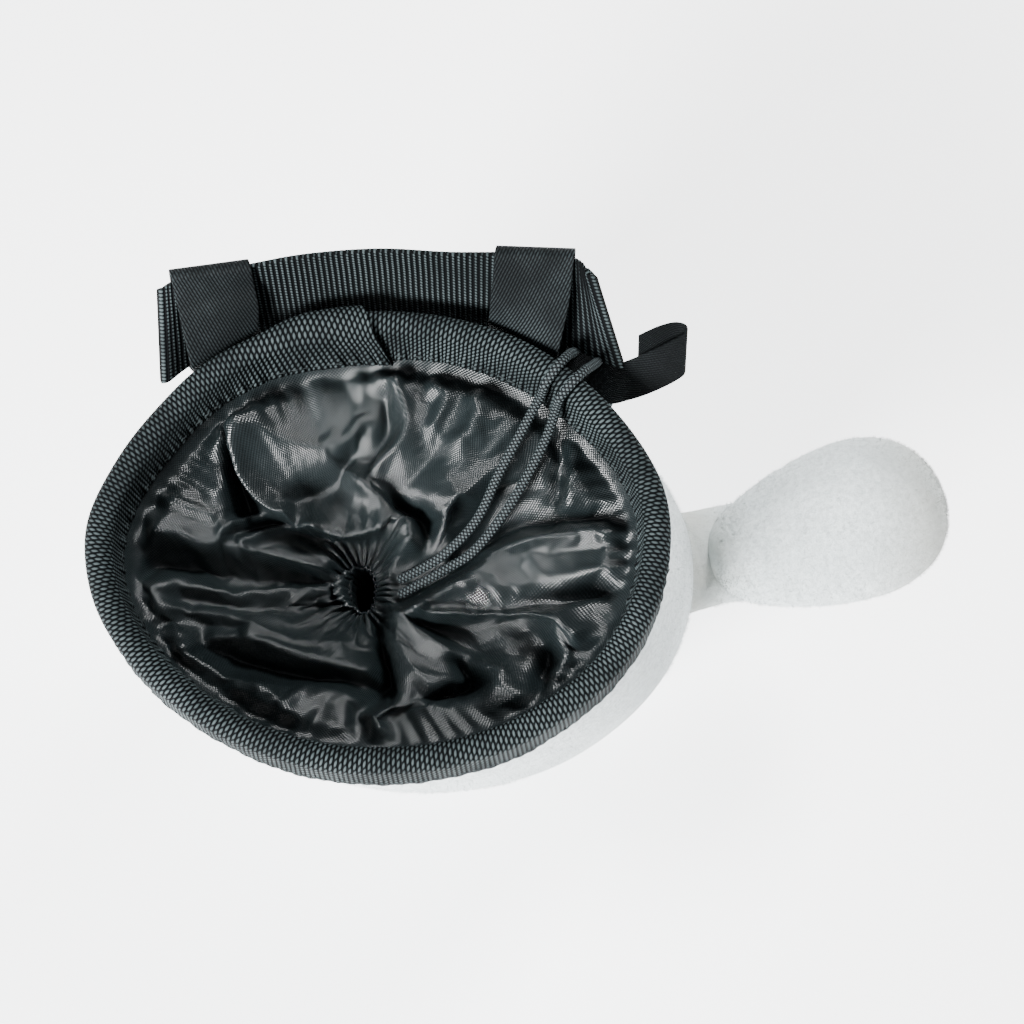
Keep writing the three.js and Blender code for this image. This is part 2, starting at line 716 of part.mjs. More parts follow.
// The neck's sections, from inside the cup's wall to its end under the lobe.
const neckRows = [
  { along: -0.12, girth: 1, lift: 0, aside: 0 },
  { along: 0.12, girth: 0.97, lift: 0, aside: 0 },
  { along: 0.35, girth: 1.0, lift: 0, aside: -0.01 },
  { along: 0.6, girth: 1.04, lift: 0, aside: -0.02 },
  { along: 0.8, girth: 0.95, lift: 0.02, aside: -0.02 },
  { along: 0.93, girth: 0.72, lift: 0.05, aside: 0 },
  { along: 1, girth: 0.36, lift: 0.08, aside: 0 },
];

// The egg-shaped lobe's sections, from its narrow end over the neck to its round tip.
const lobeRows = [
  { along: 0, girth: 0.2, lift: 0.02, aside: 0 },
  { along: 0.04, girth: 0.42, lift: 0.02, aside: 0 },
  { along: 0.12, girth: 0.6, lift: 0.01, aside: 0 },
  { along: 0.25, girth: 0.77, lift: 0, aside: 0 },
  { along: 0.4, girth: 0.91, lift: 0, aside: 0 },
  { along: 0.56, girth: 0.99, lift: 0, aside: 0 },
  { along: 0.7, girth: 0.99, lift: 0, aside: 0 },
  { along: 0.82, girth: 0.9, lift: 0, aside: 0 },
  { along: 0.91, girth: 0.73, lift: 0, aside: 0 },
  { along: 0.97, girth: 0.48, lift: 0, aside: 0 },
  { along: 1, girth: 0.2, lift: 0, aside: 0 },
];

// The lobe's narrow end from the neck's root, as shares of the neck's width and height.
const lobePlace = { right: 0.16, back: -0.125, up: 0.4 };

// The limb: a neck out of the cup's side with a fuller lobe on it, trimmed to the cup's wall.
function stuffedLimb() {
  const root = cupPoint(limbLevel / bagHeight, 0, 0).setY(limbBack);
  const neck = stuffedForm(neckRows, root, neckTurn, neckLength, neckWidth, neckHeight);
  const lobeStart = root.clone();
  lobeStart.x += neckWidth * lobePlace.right;
  lobeStart.y += neckWidth * lobePlace.back;
  lobeStart.z += neckHeight * lobePlace.up;
  const lobe = stuffedForm(lobeRows, lobeStart, lobeTurn, lobeLength, lobeWidth, lobeHeight);
  const cup = loft(cupSections.map((section) => cupRing(section.level, fitGap)));
  return fromSolid(toSolid(neck).add(toSolid(lobe)).subtract(toSolid(cup)));
}

// Finishes of the real materials.
const finishes = {
  plush: { color: 0xe6efee, roughness: 0.95, metalness: 0 },
  ribbedWebbing: { color: 0x26292c, roughness: 0.75, metalness: 0 },
  fineWebbing: { color: 0x1e2023, roughness: 0.7, metalness: 0 },
  nylon: { color: 0x181d20, roughness: 0.35, metalness: 0 },
  braid: { color: 0x222527, roughness: 0.65, metalness: 0 },
};

const bag = new THREE.Group();

function addPiece(name, geometry, finish) {
  const mesh = new THREE.Mesh(geometry, new THREE.MeshStandardMaterial(finishes[finish]));
  mesh.name = name;
  bag.add(mesh);
  return mesh;
}

addPiece('body_shell', bodyShell(), 'plush');
addPiece('stuffed_limb', stuffedLimb(), 'plush');
addPiece('rim_binding', rimBinding(), 'ribbedWebbing');
addPiece('closure_collar', closureCollar(), 'nylon');
addPiece('collar_hem', collarHem(), 'nylon');
addPiece('drawcord_left', cordStrand(leftStrandRoute), 'braid');
addPiece('drawcord_right', cordStrand(rightStrandRoute), 'braid');
addPiece('back_band', backBand(), 'ribbedWebbing');
addPiece('strap_loop_left', strapLoop(leftStrapBearing), 'fineWebbing');
addPiece('strap_loop_right', strapLoop(rightStrapBearing), 'fineWebbing');
addPiece('curled_tape', curledTape(), 'fineWebbing');
const knot = addPiece('drawcord_knot', drawcordKnot(), 'braid');
knot.rotation.x = Math.PI / 2;
knot.position.set(...leftStrandRoute.at(-1)).lerp(new THREE.Vector3(...rightStrandRoute.at(-1)), 0.5);
knot.position.z -= knotDrop;

export default bag;
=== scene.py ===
"""A climbing chalk bag, dressed on its model: plush, webbing, gathered nylon and braided cord."""
import math

import bpy
import numpy as np
from bpy.props import FloatProperty, FloatVectorProperty, IntProperty, PointerProperty
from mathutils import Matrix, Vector


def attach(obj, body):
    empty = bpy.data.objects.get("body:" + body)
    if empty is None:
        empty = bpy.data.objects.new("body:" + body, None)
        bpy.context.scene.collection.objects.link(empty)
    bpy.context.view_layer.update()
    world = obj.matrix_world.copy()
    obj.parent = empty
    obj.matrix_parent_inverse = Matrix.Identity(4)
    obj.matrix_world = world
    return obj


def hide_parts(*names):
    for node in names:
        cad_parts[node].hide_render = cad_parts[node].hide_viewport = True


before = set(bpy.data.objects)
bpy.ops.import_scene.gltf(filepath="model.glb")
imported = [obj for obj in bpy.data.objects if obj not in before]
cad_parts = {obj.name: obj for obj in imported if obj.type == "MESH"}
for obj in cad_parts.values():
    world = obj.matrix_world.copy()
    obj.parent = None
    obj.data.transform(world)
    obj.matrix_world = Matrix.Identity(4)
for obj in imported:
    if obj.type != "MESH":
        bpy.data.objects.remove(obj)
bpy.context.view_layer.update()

bl_info = {
    "name": "Climbing chalk bag",
    "version": (1, 0, 0),
    "blender": (4, 5, 0),
    "location": "3D View > Sidebar > Chalk bag",
    "description": "Dresses the chalk bag's model in plush, webbing, nylon and cord",
    "category": "Object",
}

MM = 0.001
PER_METRE = 1000.0
FULL_TURN = 360.0

# Sizes that the model is made from, in millimetres
BAG_HEIGHT = 145.0
HALF_WIDTH = 73.0
HALF_DEPTH = 61.0
PLUSH_WALL = 3.0
GAP = 0.3
BINDING_THICK = 1.5
OUTER_LEG = 12.0
INNER_LEG = 13.0
PLUSH_IN_BINDING = 2.6
COLLAR_THICK = 0.8
COLLAR_DROP = 35.0
CINCH = (-6.0, -6.0)
CINCH_RADIUS = 6.0
PIT_HALF = (3.4, 6.6)
BAND_WIDTH = 25.0
BAND_THICK = 1.6
STRAP_WIDTH = 20.0
STRAP_THICK = 1.2
STRAP_SLACK = 1.6
STRAP_BOW = 1.8
STRAP_SEWN = 6.0
TAPE_WIDTH = 12.0
TAPE_THICK = 0.8
NECK_WIDTH = 29.0
NECK_HEIGHT = 26.0
NECK_LENGTH = 62.0
NECK_TURN = 13.0
LOBE_LENGTH = 67.0
LOBE_WIDTH = 45.0
LOBE_HEIGHT = 38.0
LOBE_TURN = 18.5
LIMB_ROOT = (83.0, 8.0)
# Places along X, in millimetres, where the limb's painted shade on its neck gives way to the lit lobe, and
# where it returns at the lobe's tip
PAINTED_SHADE_EDGES = (84, 100, 124, 150)
LOBE_PLACE = (0.16, -0.125, 0.4)

# Sizes that only the dressing has, in millimetres
BINDING_OVERLAP = 13.0
BAND_HEM = 5.0
BAND_TUCK = 0.9
FLAP_TRIM = 2.2
COLLAR_ROUND = 425.0
COLLAR_FALL = 3.8
NYLON_THICK = 0.3
RUFFLE_THICK = 0.45
RUFFLE_ROUND = 60.0
BRAID_HEIGHT = 0.16
CORD_TO_KNOT = 7.6
KNOT_SIZE = 4.0
STRAP_BEARINGS = {"left": 123.5, "right": 60.5}
FIBRE_THICK = 0.16
NAP = (0.35, 0.1, -0.1)
SIDE_SEAMS = (92.0, 268.0)
BASE_SEAM = 6.5

# The studio, in metres: size and place of each light, and the camera
KEY_LIGHT = (0.4, (-0.68, -0.78, 0.66))
FILL_LIGHT = (0.3, (0.45, 0.6, 0.95))
LIT_PLACE = (0.02, 0, 0.1)
CAMERA_PLACE = (0.0334, -0.1016, 0.5474)
CAMERA_TILT = 15
CAMERA_LENS, CAMERA_FILM = 58.94, 36.0

PLUSH_OUTSIDE = BINDING_THICK + GAP
PLUSH_INSIDE = PLUSH_OUTSIDE + PLUSH_IN_BINDING
COLLAR_MIDDLE = PLUSH_INSIDE + GAP + COLLAR_THICK / 2
CREST_WIDTH = COLLAR_MIDDLE + COLLAR_THICK / 2 + GAP + BINDING_THICK
CREST_RADIUS = CREST_WIDTH / 2


def table(columns, *rows):
    """Rows of numbers under named columns."""
    return dict(zip(columns.split(), np.array(rows, float).T))


MOUTH_TRIM = table(
    "bearing share",
    (10, 1.008), (38, 0.988), (65, 1), (115, 0.998), (150, 0.964),
    (180, 1.004), (235, 0.957), (270, 0.963), (305, 0.98), (340, 0.995),
)

BINDING_LEAN = table(
    "bearing outer inner",
    (0, 0.02, 0.06), (90, 0.02, 0.2), (180, 0.02, 0.06),
    (225, 0.08, 0.04), (270, 0.12, 0.02), (315, 0.08, 0.04),
)

CUP_SECTIONS = table(
    "level width depth right back",
    (0, 0.685, 0.64, 0.164, 0.04),
    (0.018, 0.745, 0.705, 0.164, 0.045),
    (0.06, 0.8, 0.76, 0.162, 0.055),
    (0.15, 0.875, 0.835, 0.158, 0.054),
    (0.28, 0.946, 0.905, 0.15, 0.052),
    (0.42, 0.997, 0.962, 0.144, 0.046),
    (0.56, 1.022, 0.994, 0.132, 0.036),
    (0.67, 1.028, 1.004, 0.106, 0.022),
    (0.79, 1.008, 0.994, 0.07, 0.01),
    (0.88, 0.984, 0.972, 0.026, 0.004),
)

BAND_STATIONS = table(
    "bearing off drop lean turn",
    (137, 0.16, 0.27, 46.5, -5), (129, 0.18, 0.39, 33.5, -3), (119, 0.155, 0.5, 22, 0),
    (105, 0.115, 0.5, 17.5, 0), (90, 0.09, 0.47, 17, 0), (75, 0.08, 0.48, 21, 0),
    (62, 0.18, 0.42, 28, -4), (52, 0.285, 0.34, 37.5, 3), (43, 0.395, 0.29, 48.5, 24),
)

TAPE_ROUTE = table(
    "right back drop lean",
    (0.65, 0.905, 1.5, 74), (0.69, 0.872, 1.5, 68), (0.734, 0.836, 1.47, 60),
    (0.778, 0.782, 1.5, 50), (0.822, 0.748, 1.36, 42), (0.874, 0.734, 0.92, 42),
    (0.925, 0.741, 0.67, 46), (0.986, 0.764, 0.5, 48), (1.038, 0.793, 0.42, 48),
    (1.068, 0.82, 0.4, 46), (1.068, 0.849, 0.4, 45), (1.038, 0.862, 0.41, 46),
    (0.981, 0.849, 0.45, 48), (0.904, 0.81, 0.53, 50),
)

# Sections along the limb: place along it, girth, lift and shift aside, as shares of its sizes
NECK_ROWS = [
    (-0.06, 1.02, 0, 0), (0.12, 0.97, 0, 0), (0.35, 1, 0, -0.01), (0.6, 1.04, 0, -0.02),
    (0.8, 0.95, 0.02, -0.02), (0.93, 0.72, 0.05, 0), (1, 0.36, 0.08, 0), (1.02, 0, 0.08, 0),
]
LOBE_ROWS = [
    (-0.012, 0, 0.02, 0), (0, 0.2, 0.02, 0), (0.04, 0.42, 0.02, 0), (0.12, 0.6, 0.01, 0),
    (0.25, 0.77, 0, 0), (0.4, 0.91, 0, 0), (0.56, 0.99, 0, 0), (0.7, 0.99, 0, 0),
    (0.82, 0.9, 0, 0), (0.91, 0.73, 0, 0), (0.97, 0.48, 0, 0), (1, 0.2, 0, 0),
    (1.008, 0, 0, 0),
]

LEFT_STRAND = [
    (3.2, -4.4, 114.6), (8.7, -2.4, 117.6), (15.6, 1.2, 120.8), (24, 9.3, 124.5), (30, 20.6, 129.5),
    (35.6, 30, 134.4), (38.8, 35.2, 138), (41, 38.3, 141.6), (41.9, 39.8, 145.3), (44.4, 43.1, 147),
    (46.8, 46.6, 145.3), (48.2, 49, 142.2), (49, 50.8, 138), (50.2, 53.3, 134.2), (51.8, 57, 132.8),
    (53.2, 59.6, 130), (54.3, 61, 125.6), (55.2, 61.4, 118), (56, 61, 108), (56.8, 60.2, 98),
    (57.6, 59.4, 88.6),
]
RIGHT_STRAND = [
    (3.4, -8.4, 114), (9.9, -5.4, 116.8), (16.5, -2.2, 119.4), (22.6, 1.2, 121.6), (30.2, 9.4, 125.2),
    (36.9, 19.4, 129), (42, 28.4, 134), (43.8, 32.4, 137.6), (44.9, 35.2, 141.6), (45.9, 36.6, 145.3),
    (48.8, 39.7, 147), (51.6, 43.1, 145.3), (53.2, 45.3, 142), (54.6, 47.4, 138.6), (55.8, 49.4, 135.8),
    (57, 51.6, 134), (58.6, 53.9, 132.2), (60, 56, 129.2), (61, 57.4, 123.6), (61.8, 58.2, 114),
    (62, 58.6, 104), (61.9, 58.8, 96), (61.4, 59, 88.6),
]

# The collar's ridges and hollows in plan: height, how far each side falls off, and its course
COLLAR_FOLDS = [
    (5.0, 10, 10, [(-32.4, 33.5), (-20.8, 29.5), (-9.4, 31.5)]),
    (4.2, 4.5, 1.5, [
        (-39.4, 39.6), (-37.5, 29.5), (-34.3, 21.6), (-28.9, 15.7), (-20.3, 11.6), (-10.8, 9.3), (-1.8, 10.3),
    ]),
    (-3.0, 3, 4, [(-39.9, 24.6), (-36.4, 15.2), (-28.7, 10.3), (-18.2, 7.4)]),
    (-3.0, 3, 4, [(-20.5, 19.6), (-13.0, 21.6), (-9.3, 27.5)]),
    (4.5, 4, 5, [(0.3, 48.7), (3.7, 42.6), (6.0, 35.5), (4.9, 29.5), (-0.2, 24.1)]),
    (-2.5, 3, 3, [(-0.6, 41.6), (0.1, 33.5), (-3.6, 27.1)]),
    (4.5, 14, 12, [(25.9, 35.5), (18.3, 25.6), (12.7, 15.7), (10.5, 6.9)]),
    (4.5, 2.5, 4.5, [(-9.2, 23.1), (-3.4, 18.2), (3.1, 13.7), (6.2, 8.9), (5.8, 2.6), (3.1, -2.7)]),
    (-6.0, 3, 3, [(3.7, 15.2), (8.5, 11.3), (9.8, 5.0), (7.7, -0.3)]),
    (4.0, 6, 3, [(10.6, -0.8), (13.0, 6.4), (14.4, 12.3), (18.4, 17.7), (25.9, 19.4)]),
    (-2.5, 4, 4, [(30.7, 18.6), (27.8, 10.8), (21.3, 4.0)]),
    (4.5, 6, 7, [(61.7, 5.9), (48.5, 5.9), (34.4, 3.0), (21.3, -2.7), (11.1, -6.6)]),
    (-4.5, 3, 3, [(65.1, 10.0), (48.6, 9.6), (36.3, 10.0), (28.8, 5.9), (20.4, 0.1)]),
    (2.5, 4, 3, [(65.2, -6.6), (53.1, -4.7), (39.1, -6.6), (25.1, -8.0), (12.1, -9.0)]),
    (-4.5, 2, 3, [(66.1, -10.6), (48.4, -9.4), (29.8, -10.6), (14.0, -10.4)]),
    (5.0, 6, 2.5, [
        (6.5, -10.4), (15.8, -12.3), (29.8, -11.5), (39.1, -12.5), (46.5, -16.1), (52.0, -22.7),
        (55.6, -28.3),
    ]),
    (-3.5, 4, 4, [(12.2, -15.6), (21.5, -21.0), (30.7, -25.5), (38.1, -19.8)]),
    (3.5, 5, 3, [(4.2, -13.7), (12.2, -19.8), (20.6, -25.6), (26.1, -29.2)]),
    (-5.5, 3, 3, [(21.1, -28.3), (22.7, -32.9), (16.1, -35.9)]),
    (3.5, 3, 3, [(45.1, -18.9), (46.6, -27.3), (42.7, -36.6)]),
    (-4.5, 2, 2.5, [(42.9, -25.5), (41.0, -33.8), (41.7, -38.9)]),
    (3.0, 4, 4, [(39.1, -19.8), (32.6, -24.5), (29.8, -32.0)]),
    (2.5, 6, 7, [(1.1, -19.8), (6.7, -25.5), (13.3, -32.0)]),
    (-5.5, 3, 2, [(-2.7, -14.2), (-2.0, -22.7), (-0.3, -31.5)]),
    (4.5, 8, 3, [(-2.0, -47.6), (-3.0, -42.1), (1.4, -36.8), (9.2, -34.6)]),
    (-4.5, 3, 3, [(-5.6, -48.5), (-6.9, -40.7), (-3.2, -34.3)]),
    (3.5, 4, 5, [(13.4, -38.9), (21.6, -36.8), (30.8, -35.5), (37.2, -38.4)]),
    (-3.5, 3, 3, [(9.6, -33.8), (16.5, -35.9), (23.9, -34.6)]),
    (4.0, 6, 6, [(-29.8, -34.7), (-18.8, -34.0), (-7.7, -37.1)]),
    (-5.5, 4, 4, [(-45.0, -23.6), (-31.9, -29.0), (-18.9, -31.8), (-3.2, -32.7)]),
    (3.2, 5, 5, [(-52.3, -25.5), (-41.0, -31.0), (-29.7, -36.6), (-22.2, -41.6)]),
    (4.5, 4, 5, [(-50.4, -25.9), (-41.4, -21.0), (-30.3, -21.5), (-19.1, -25.3), (-6.1, -29.2)]),
    (5.0, 4, 5, [(-66.2, 6.9), (-50.1, 4.0), (-35.9, 1.9), (-15.6, -1.3)]),
    (-4.5, 4, 4, [(-64.7, -2.7), (-49.8, -2.0), (-35.7, -2.7), (-16.0, -4.7)]),
    (2.8, 2, 2, [(-65.2, -9.4), (-51.3, -8.1), (-37.3, -8.7), (-15.9, -6.8)]),
    (-2.5, 2, 2.5, [(-51.2, -10.6), (-37.2, -11.5), (-18.6, -10.4)]),
    (3.0, 5, 4, [(-65.0, -14.2), (-53.8, -14.2), (-39.8, -15.3), (-25.8, -18.9), (-11.8, -21.7)]),
    (-2.5, 3, 3, [(-61.8, -20.3), (-49.0, -16.8), (-36.9, -18.9)]),
    (4.5, 6, 5, [(-44.0, 35.5), (-41.7, 26.6), (-42.2, 17.7)]),
    (-4.5, 2, 2.5, [(-39.4, 36.5), (-39.1, 23.6), (-37.5, 13.7)]),
    (3.0, 2, 2, [(-40.8, 6.9), (-35.3, 11.6), (-25.0, 13.5)]),
    (3.0, 2, 2, [(-35.1, 4.8), (-27.7, 9.6), (-17.4, 10.6)]),
    (-2.5, 2, 2, [(-37.9, 5.9), (-31.5, 10.3), (-22.2, 12.0)]),
    (3.0, 5, 5, [(-59.1, 15.7), (-52.4, 12.8), (-44.7, 10.8)]),
    (3.0, 3, 3, [(12.3, 46.7), (15.7, 41.6), (13.4, 34.5)]),
    (2.5, 3, 3, [(24.9, 42.6), (23.5, 35.5), (20.2, 30.5)]),
    (3.5, 4, 4, [(51.2, 31.5), (48.7, 21.6), (47.7, 14.7)]),
    (-3.5, 3, 3, [(46.4, 28.5), (45.6, 15.7)]),
    (3.0, 3, 3, [(56.4, 29.5), (57.7, 22.6), (62.8, 15.7)]),
]


def smooth(share):
    """A share from 0 to 1, eased at both ends."""
    share = np.clip(share, 0.0, 1.0)
    return share * share * (3.0 - 2.0 * share)


def unit(vectors):
    return vectors / np.maximum(np.linalg.norm(vectors, axis=-1, keepdims=True), 1e-9)


def around(rows, column, bearing):
    """A column of a table that goes round the mouth, eased between its rows."""
    bearings = rows["bearing"]
    turned = np.mod(bearing, FULL_TURN)
    after = np.searchsorted(bearings, turned, side="right") % len(bearings)
    before = after - 1
    start = np.where(bearings[before] > turned, bearings[before] - FULL_TURN, bearings[before])
    end = np.where(bearings[after] <= turned, bearings[after] + FULL_TURN, bearings[after])
    part = smooth((turned - start) / (end - start))
    return rows[column][before] * (1 - part) + rows[column][after] * part


def on_curve(knots, values, at):
    """Values at any place of a smooth curve that goes through the given ones at the knots."""
    slopes = np.gradient(values, knots, axis=0)
    spot = np.clip(np.searchsorted(knots, at, side="right") - 1, 0, len(knots) - 2)
    span = knots[spot + 1] - knots[spot]
    t = (at - knots[spot]) / span
    if values.ndim > 1:
        span, t = span[:, None], t[:, None]
    return (
        values[spot] * (1 + 2 * t) * (1 - t) ** 2
        + slopes[spot] * span * t * (1 - t) ** 2
        + values[spot + 1] * t * t * (3 - 2 * t)
        + slopes[spot + 1] * span * t * t * (t - 1)
    )


def along_table(rows, key, column, value):
    """A column of a table at any value of its key, on a smooth curve through its rows."""
    way = -1 if rows[key][0] > rows[key][-1] else 1
    knots = rows[key] * way
    at = np.clip(np.asarray(value, float) * way, knots[0], knots[-1])
    return on_curve(knots, rows[column], at)


def curve_through(points, spacing):
    """Points every so often along a smooth curve through the given ones, and its length."""
    knots = np.array(points, float)
    steps = np.sqrt(np.linalg.norm(np.diff(knots, axis=0), axis=1))
    place = np.concatenate([[0], np.cumsum(steps)])
    line = on_curve(place, knots, np.linspace(0, place[-1], 60 * len(knots)))
    gone = np.concatenate([[0], np.cumsum(np.linalg.norm(np.diff(line, axis=0), axis=1))])
    count = max(2, int(round(gone[-1] / spacing)) + 1)
    even = np.linspace(0, gone[-1], count)
    return np.stack([np.interp(even, gone, column) for column in line.T], axis=1), gone[-1]


def ripple(shape, waves, seed):
    """Soft unevenness over a grid, between -1 and 1, from a few waves in each direction."""
    chance = np.random.default_rng(seed)
    rows = np.linspace(0, 1, shape[0])[:, None]
    columns = np.linspace(0, 1, shape[1])[None, :]
    total = np.zeros(shape)
    for _ in range(14):
        across, along = chance.integers(1, waves[0] + 1), chance.integers(0, waves[1] + 1)
        turn, weight = chance.uniform(0, 2 * math.pi, 2), chance.uniform(0.4, 1)
        wave = np.sin(2 * math.pi * across * columns + turn[0])
        total += weight * wave * np.cos(math.pi * along * rows + turn[1])
    return total / np.abs(total).max()


def mouth(bearing):
    """The mouth's outer edge in plan."""
    trim = around(MOUTH_TRIM, "share", bearing)
    angle = np.radians(bearing)
    return np.stack([HALF_WIDTH * trim * np.cos(angle), HALF_DEPTH * trim * np.sin(angle)], axis=-1)


def mouth_outward(bearing):
    """The outward direction of the mouth's edge in plan."""
    along = unit(mouth(bearing + 1) - mouth(bearing - 1))
    return np.stack([along[..., 1], -along[..., 0]], axis=-1)


def from_mouth(bearing, out, drop):
    """A point off the mouth's edge: outwards in plan, and down from the binding's crest."""
    bearing, out, drop = np.broadcast_arrays(np.asarray(bearing, float), out, drop)
    plan = mouth(bearing) + mouth_outward(bearing) * out[..., None]
    return np.concatenate([plan, (BAG_HEIGHT - drop)[..., None]], axis=-1)


def cup_point(level, bearing, grown):
    """A point of the plush cup's outer wall; level is a share of its height."""
    level, bearing, grown = np.broadcast_arrays(np.asarray(level, float), np.asarray(bearing, float), grown)
    edge = mouth(bearing)
    columns = ("width", "depth", "right", "back")
    mix = {name: along_table(CUP_SECTIONS, "level", name, level) for name in columns}
    away = unit(np.stack([edge[..., 0] / HALF_WIDTH**2, edge[..., 1] / HALF_DEPTH**2], axis=-1))
    x = mix["right"] * HALF_WIDTH + edge[..., 0] * mix["width"] + away[..., 0] * grown
    y = mix["back"] * HALF_DEPTH + edge[..., 1] * mix["depth"] + away[..., 1] * grown
    return np.stack([x, y, level * BAG_HEIGHT], axis=-1)


def cup_gap(places):
    """How far points lie outside the cup's plain wall, in plan."""
    bearing = np.degrees(np.arctan2(places[:, 1] / HALF_DEPTH, (places[:, 0] - 8.0) / HALF_WIDTH))
    wall = cup_point(places[:, 2] / BAG_HEIGHT, bearing, 0)
    middle = np.array([8.0, 0.0])
    return np.linalg.norm(places[:, :2] - middle, axis=1) - np.linalg.norm(wall[:, :2] - middle, axis=1)


def surface_normals(points):
    """Normals of a grid of points, by the directions along its rows and columns."""
    return unit(np.cross(np.gradient(points, axis=1), np.gradient(points, axis=0)))


def run_lengths(points, axis):
    """Distances gone along a grid's rows or columns, in millimetres."""
    steps = np.linalg.norm(np.diff(points, axis=axis), axis=-1)
    gone = np.cumsum(steps, axis=axis)
    return np.concatenate([np.zeros_like(np.take(gone, [0], axis=axis)), gone], axis=axis)


def only(piece):
    """Selects one piece alone."""
    bpy.ops.object.select_all(action="DESELECT")
    piece.select_set(True)
    bpy.context.view_layer.objects.active = piece


def in_edit_mode(piece, *steps):
    """Runs edit-mode steps on the whole of a piece."""
    only(piece)
    bpy.ops.object.mode_set(mode="EDIT")
    bpy.ops.mesh.select_all(action="SELECT")
    for step in steps:
        step()
    bpy.ops.object.mode_set(mode="OBJECT")


def corners(mesh):
    """The places of a mesh's corners, a row each."""
    found = np.empty(len(mesh.vertices) * 3)
    mesh.vertices.foreach_get("co", found)
    return found.reshape(-1, 3)


def set_corners(mesh, places):
    mesh.vertices.foreach_set("co", np.asarray(places).ravel())
    mesh.update()


def settle(piece, held, steps, cap, **cloth):
    """Lets a piece settle as cloth, laid out larger; held says how firmly each point stays, from 0 to 1."""
    larger = 10.0
    start = corners(piece.data)
    set_corners(piece.data, start * larger)
    group = piece.vertex_groups.new(name="held")
    for index, weight in enumerate(held):
        group.add([index], float(weight), "REPLACE")
    modifier = piece.modifiers.new("Settle", "CLOTH")
    modifier.collision_settings.use_collision = False
    modifier.settings.vertex_group_mass = group.name
    modifier.settings.effector_weights.gravity = 0.0
    for setting, value in cloth.items():
        setattr(modifier.settings, setting, value)
    scene = bpy.context.scene
    for step in range(1, steps + 1):
        scene.frame_set(step)
    graph = bpy.context.evaluated_depsgraph_get()
    shift = corners(piece.evaluated_get(graph).data) / larger - start
    piece.modifiers.remove(modifier)
    piece.vertex_groups.remove(group)
    scene.frame_set(1)
    gone = np.linalg.norm(shift, axis=1, keepdims=True)
    set_corners(piece.data, start + shift * np.minimum(1, cap * MM / np.maximum(gone, 1e-9)))


def apply_modifier(piece, name, kind, **settings):
    modifier = piece.modifiers.new(name, kind)
    for setting, value in settings.items():
        setattr(modifier, setting, value)
    only(piece)
    bpy.ops.object.modifier_apply(modifier=modifier.name)


def laid_grid(name, points, flat):
    """A grid primitive whose corners are laid on points, with a UV map of the flat cloth in metres."""
    rows, columns = points.shape[:2]
    bpy.ops.object.select_all(action="DESELECT")
    bpy.ops.mesh.primitive_grid_add(
        x_subdivisions=columns - 1, y_subdivisions=rows - 1, size=1.0, location=(0, 0, 0)
    )
    piece = bpy.context.object
    piece.name = piece.data.name = name
    mesh = piece.data
    first = corners(mesh)
    column = np.rint((first[:, 0] + 0.5) * (columns - 1)).astype(int)
    row = np.rint((first[:, 1] + 0.5) * (rows - 1)).astype(int)
    mesh.vertices.foreach_set("co", (points[row, column] * MM).ravel())
    owner = np.empty(len(mesh.loops), int)
    mesh.loops.foreach_get("vertex_index", owner)
    mesh.uv_layers[0].name = "Cloth"
    mesh.uv_layers[0].data.foreach_set("uv", (flat[row[owner], column[owner]] * MM).ravel())
    mesh.update()
    return piece


def join_edges(piece):
    """Merges the edges that meet, and turns the faces of a closed form outwards."""
    in_edit_mode(
        piece,
        lambda: bpy.ops.mesh.remove_doubles(threshold=2e-6),
        lambda: bpy.ops.mesh.normals_make_consistent(inside=False),
    )


def give_thickness(piece, thickness, rim=0.0):
    """Gives a sheet its thickness, both ways, and rounds its edges by the rim."""
    apply_modifier(piece, "Thickness", "SOLIDIFY", thickness=thickness * MM, offset=0.0, use_rim=True)
    if rim:
        apply_modifier(
            piece, "Selvedge", "BEVEL", width=rim * MM, segments=2, limit_method="ANGLE", angle_limit=1.1
        )


def finish_piece(piece, finish, slot, *nodes):
    """Gives a piece its finish and its place in the model."""
    piece.data.materials.clear()
    piece.data.materials.append(finish)
    only(piece)
    bpy.ops.object.shade_smooth()
    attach(piece, "root")
    if nodes:
        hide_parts(*nodes)
    return piece


def tube(name, line, radius, sides, relief):
    """A closed round tube along a line, rounded at its ends; relief adds a height by length and angle."""
    ahead = unit(np.gradient(line, axis=0))
    side = np.zeros_like(line)
    side[0] = unit(np.cross(ahead[0], [0.13, 0.4, 0.9]))
    for step in range(1, len(line)):
        side[step] = unit(side[step - 1] - ahead[step] * np.dot(side[step - 1], ahead[step]))
    up = np.cross(ahead, side)
    angle = np.linspace(0, 2 * math.pi, sides + 1)[None, :]
    gone = run_lengths(line[:, None, :], 0)
    girth = np.full((len(line), sides + 1), float(radius)) + relief(gone, angle)
    left = np.minimum(gone, gone[-1] - gone)
    girth = girth * np.sqrt(1 - (1 - np.clip(left / radius, 0, 1)) ** 2)
    points = line[:, None, :] + girth[..., None] * (
        np.cos(angle)[..., None] * side[:, None, :] + np.sin(angle)[..., None] * up[:, None, :]
    )
    flat = np.stack(np.broadcast_arrays(gone, angle * radius), axis=-1)
    piece = laid_grid(name, points, flat)
    join_edges(piece)
    return piece


def copies(name, make, middle, ahead, out, sizes):
    """Many copies of one small primitive, each with its own place, direction and outward side."""
    bpy.ops.object.select_all(action="DESELECT")
    make()
    piece = bpy.context.object
    piece.name = piece.data.name = name
    shape = corners(piece.data) * sizes
    apply_modifier(piece, "Row", "ARRAY", count=len(middle), use_relative_offset=False)
    ahead, out = unit(ahead), unit(out)
    side = unit(np.cross(out, ahead))
    out = np.cross(ahead, side)
    spots = (
        middle[:, None] + shape[None, :, 0, None] * ahead[:, None]
        + shape[None, :, 1, None] * side[:, None] + shape[None, :, 2, None] * out[:, None]
    )
    set_corners(piece.data, spots.reshape(-1, 3) * MM)
    return piece


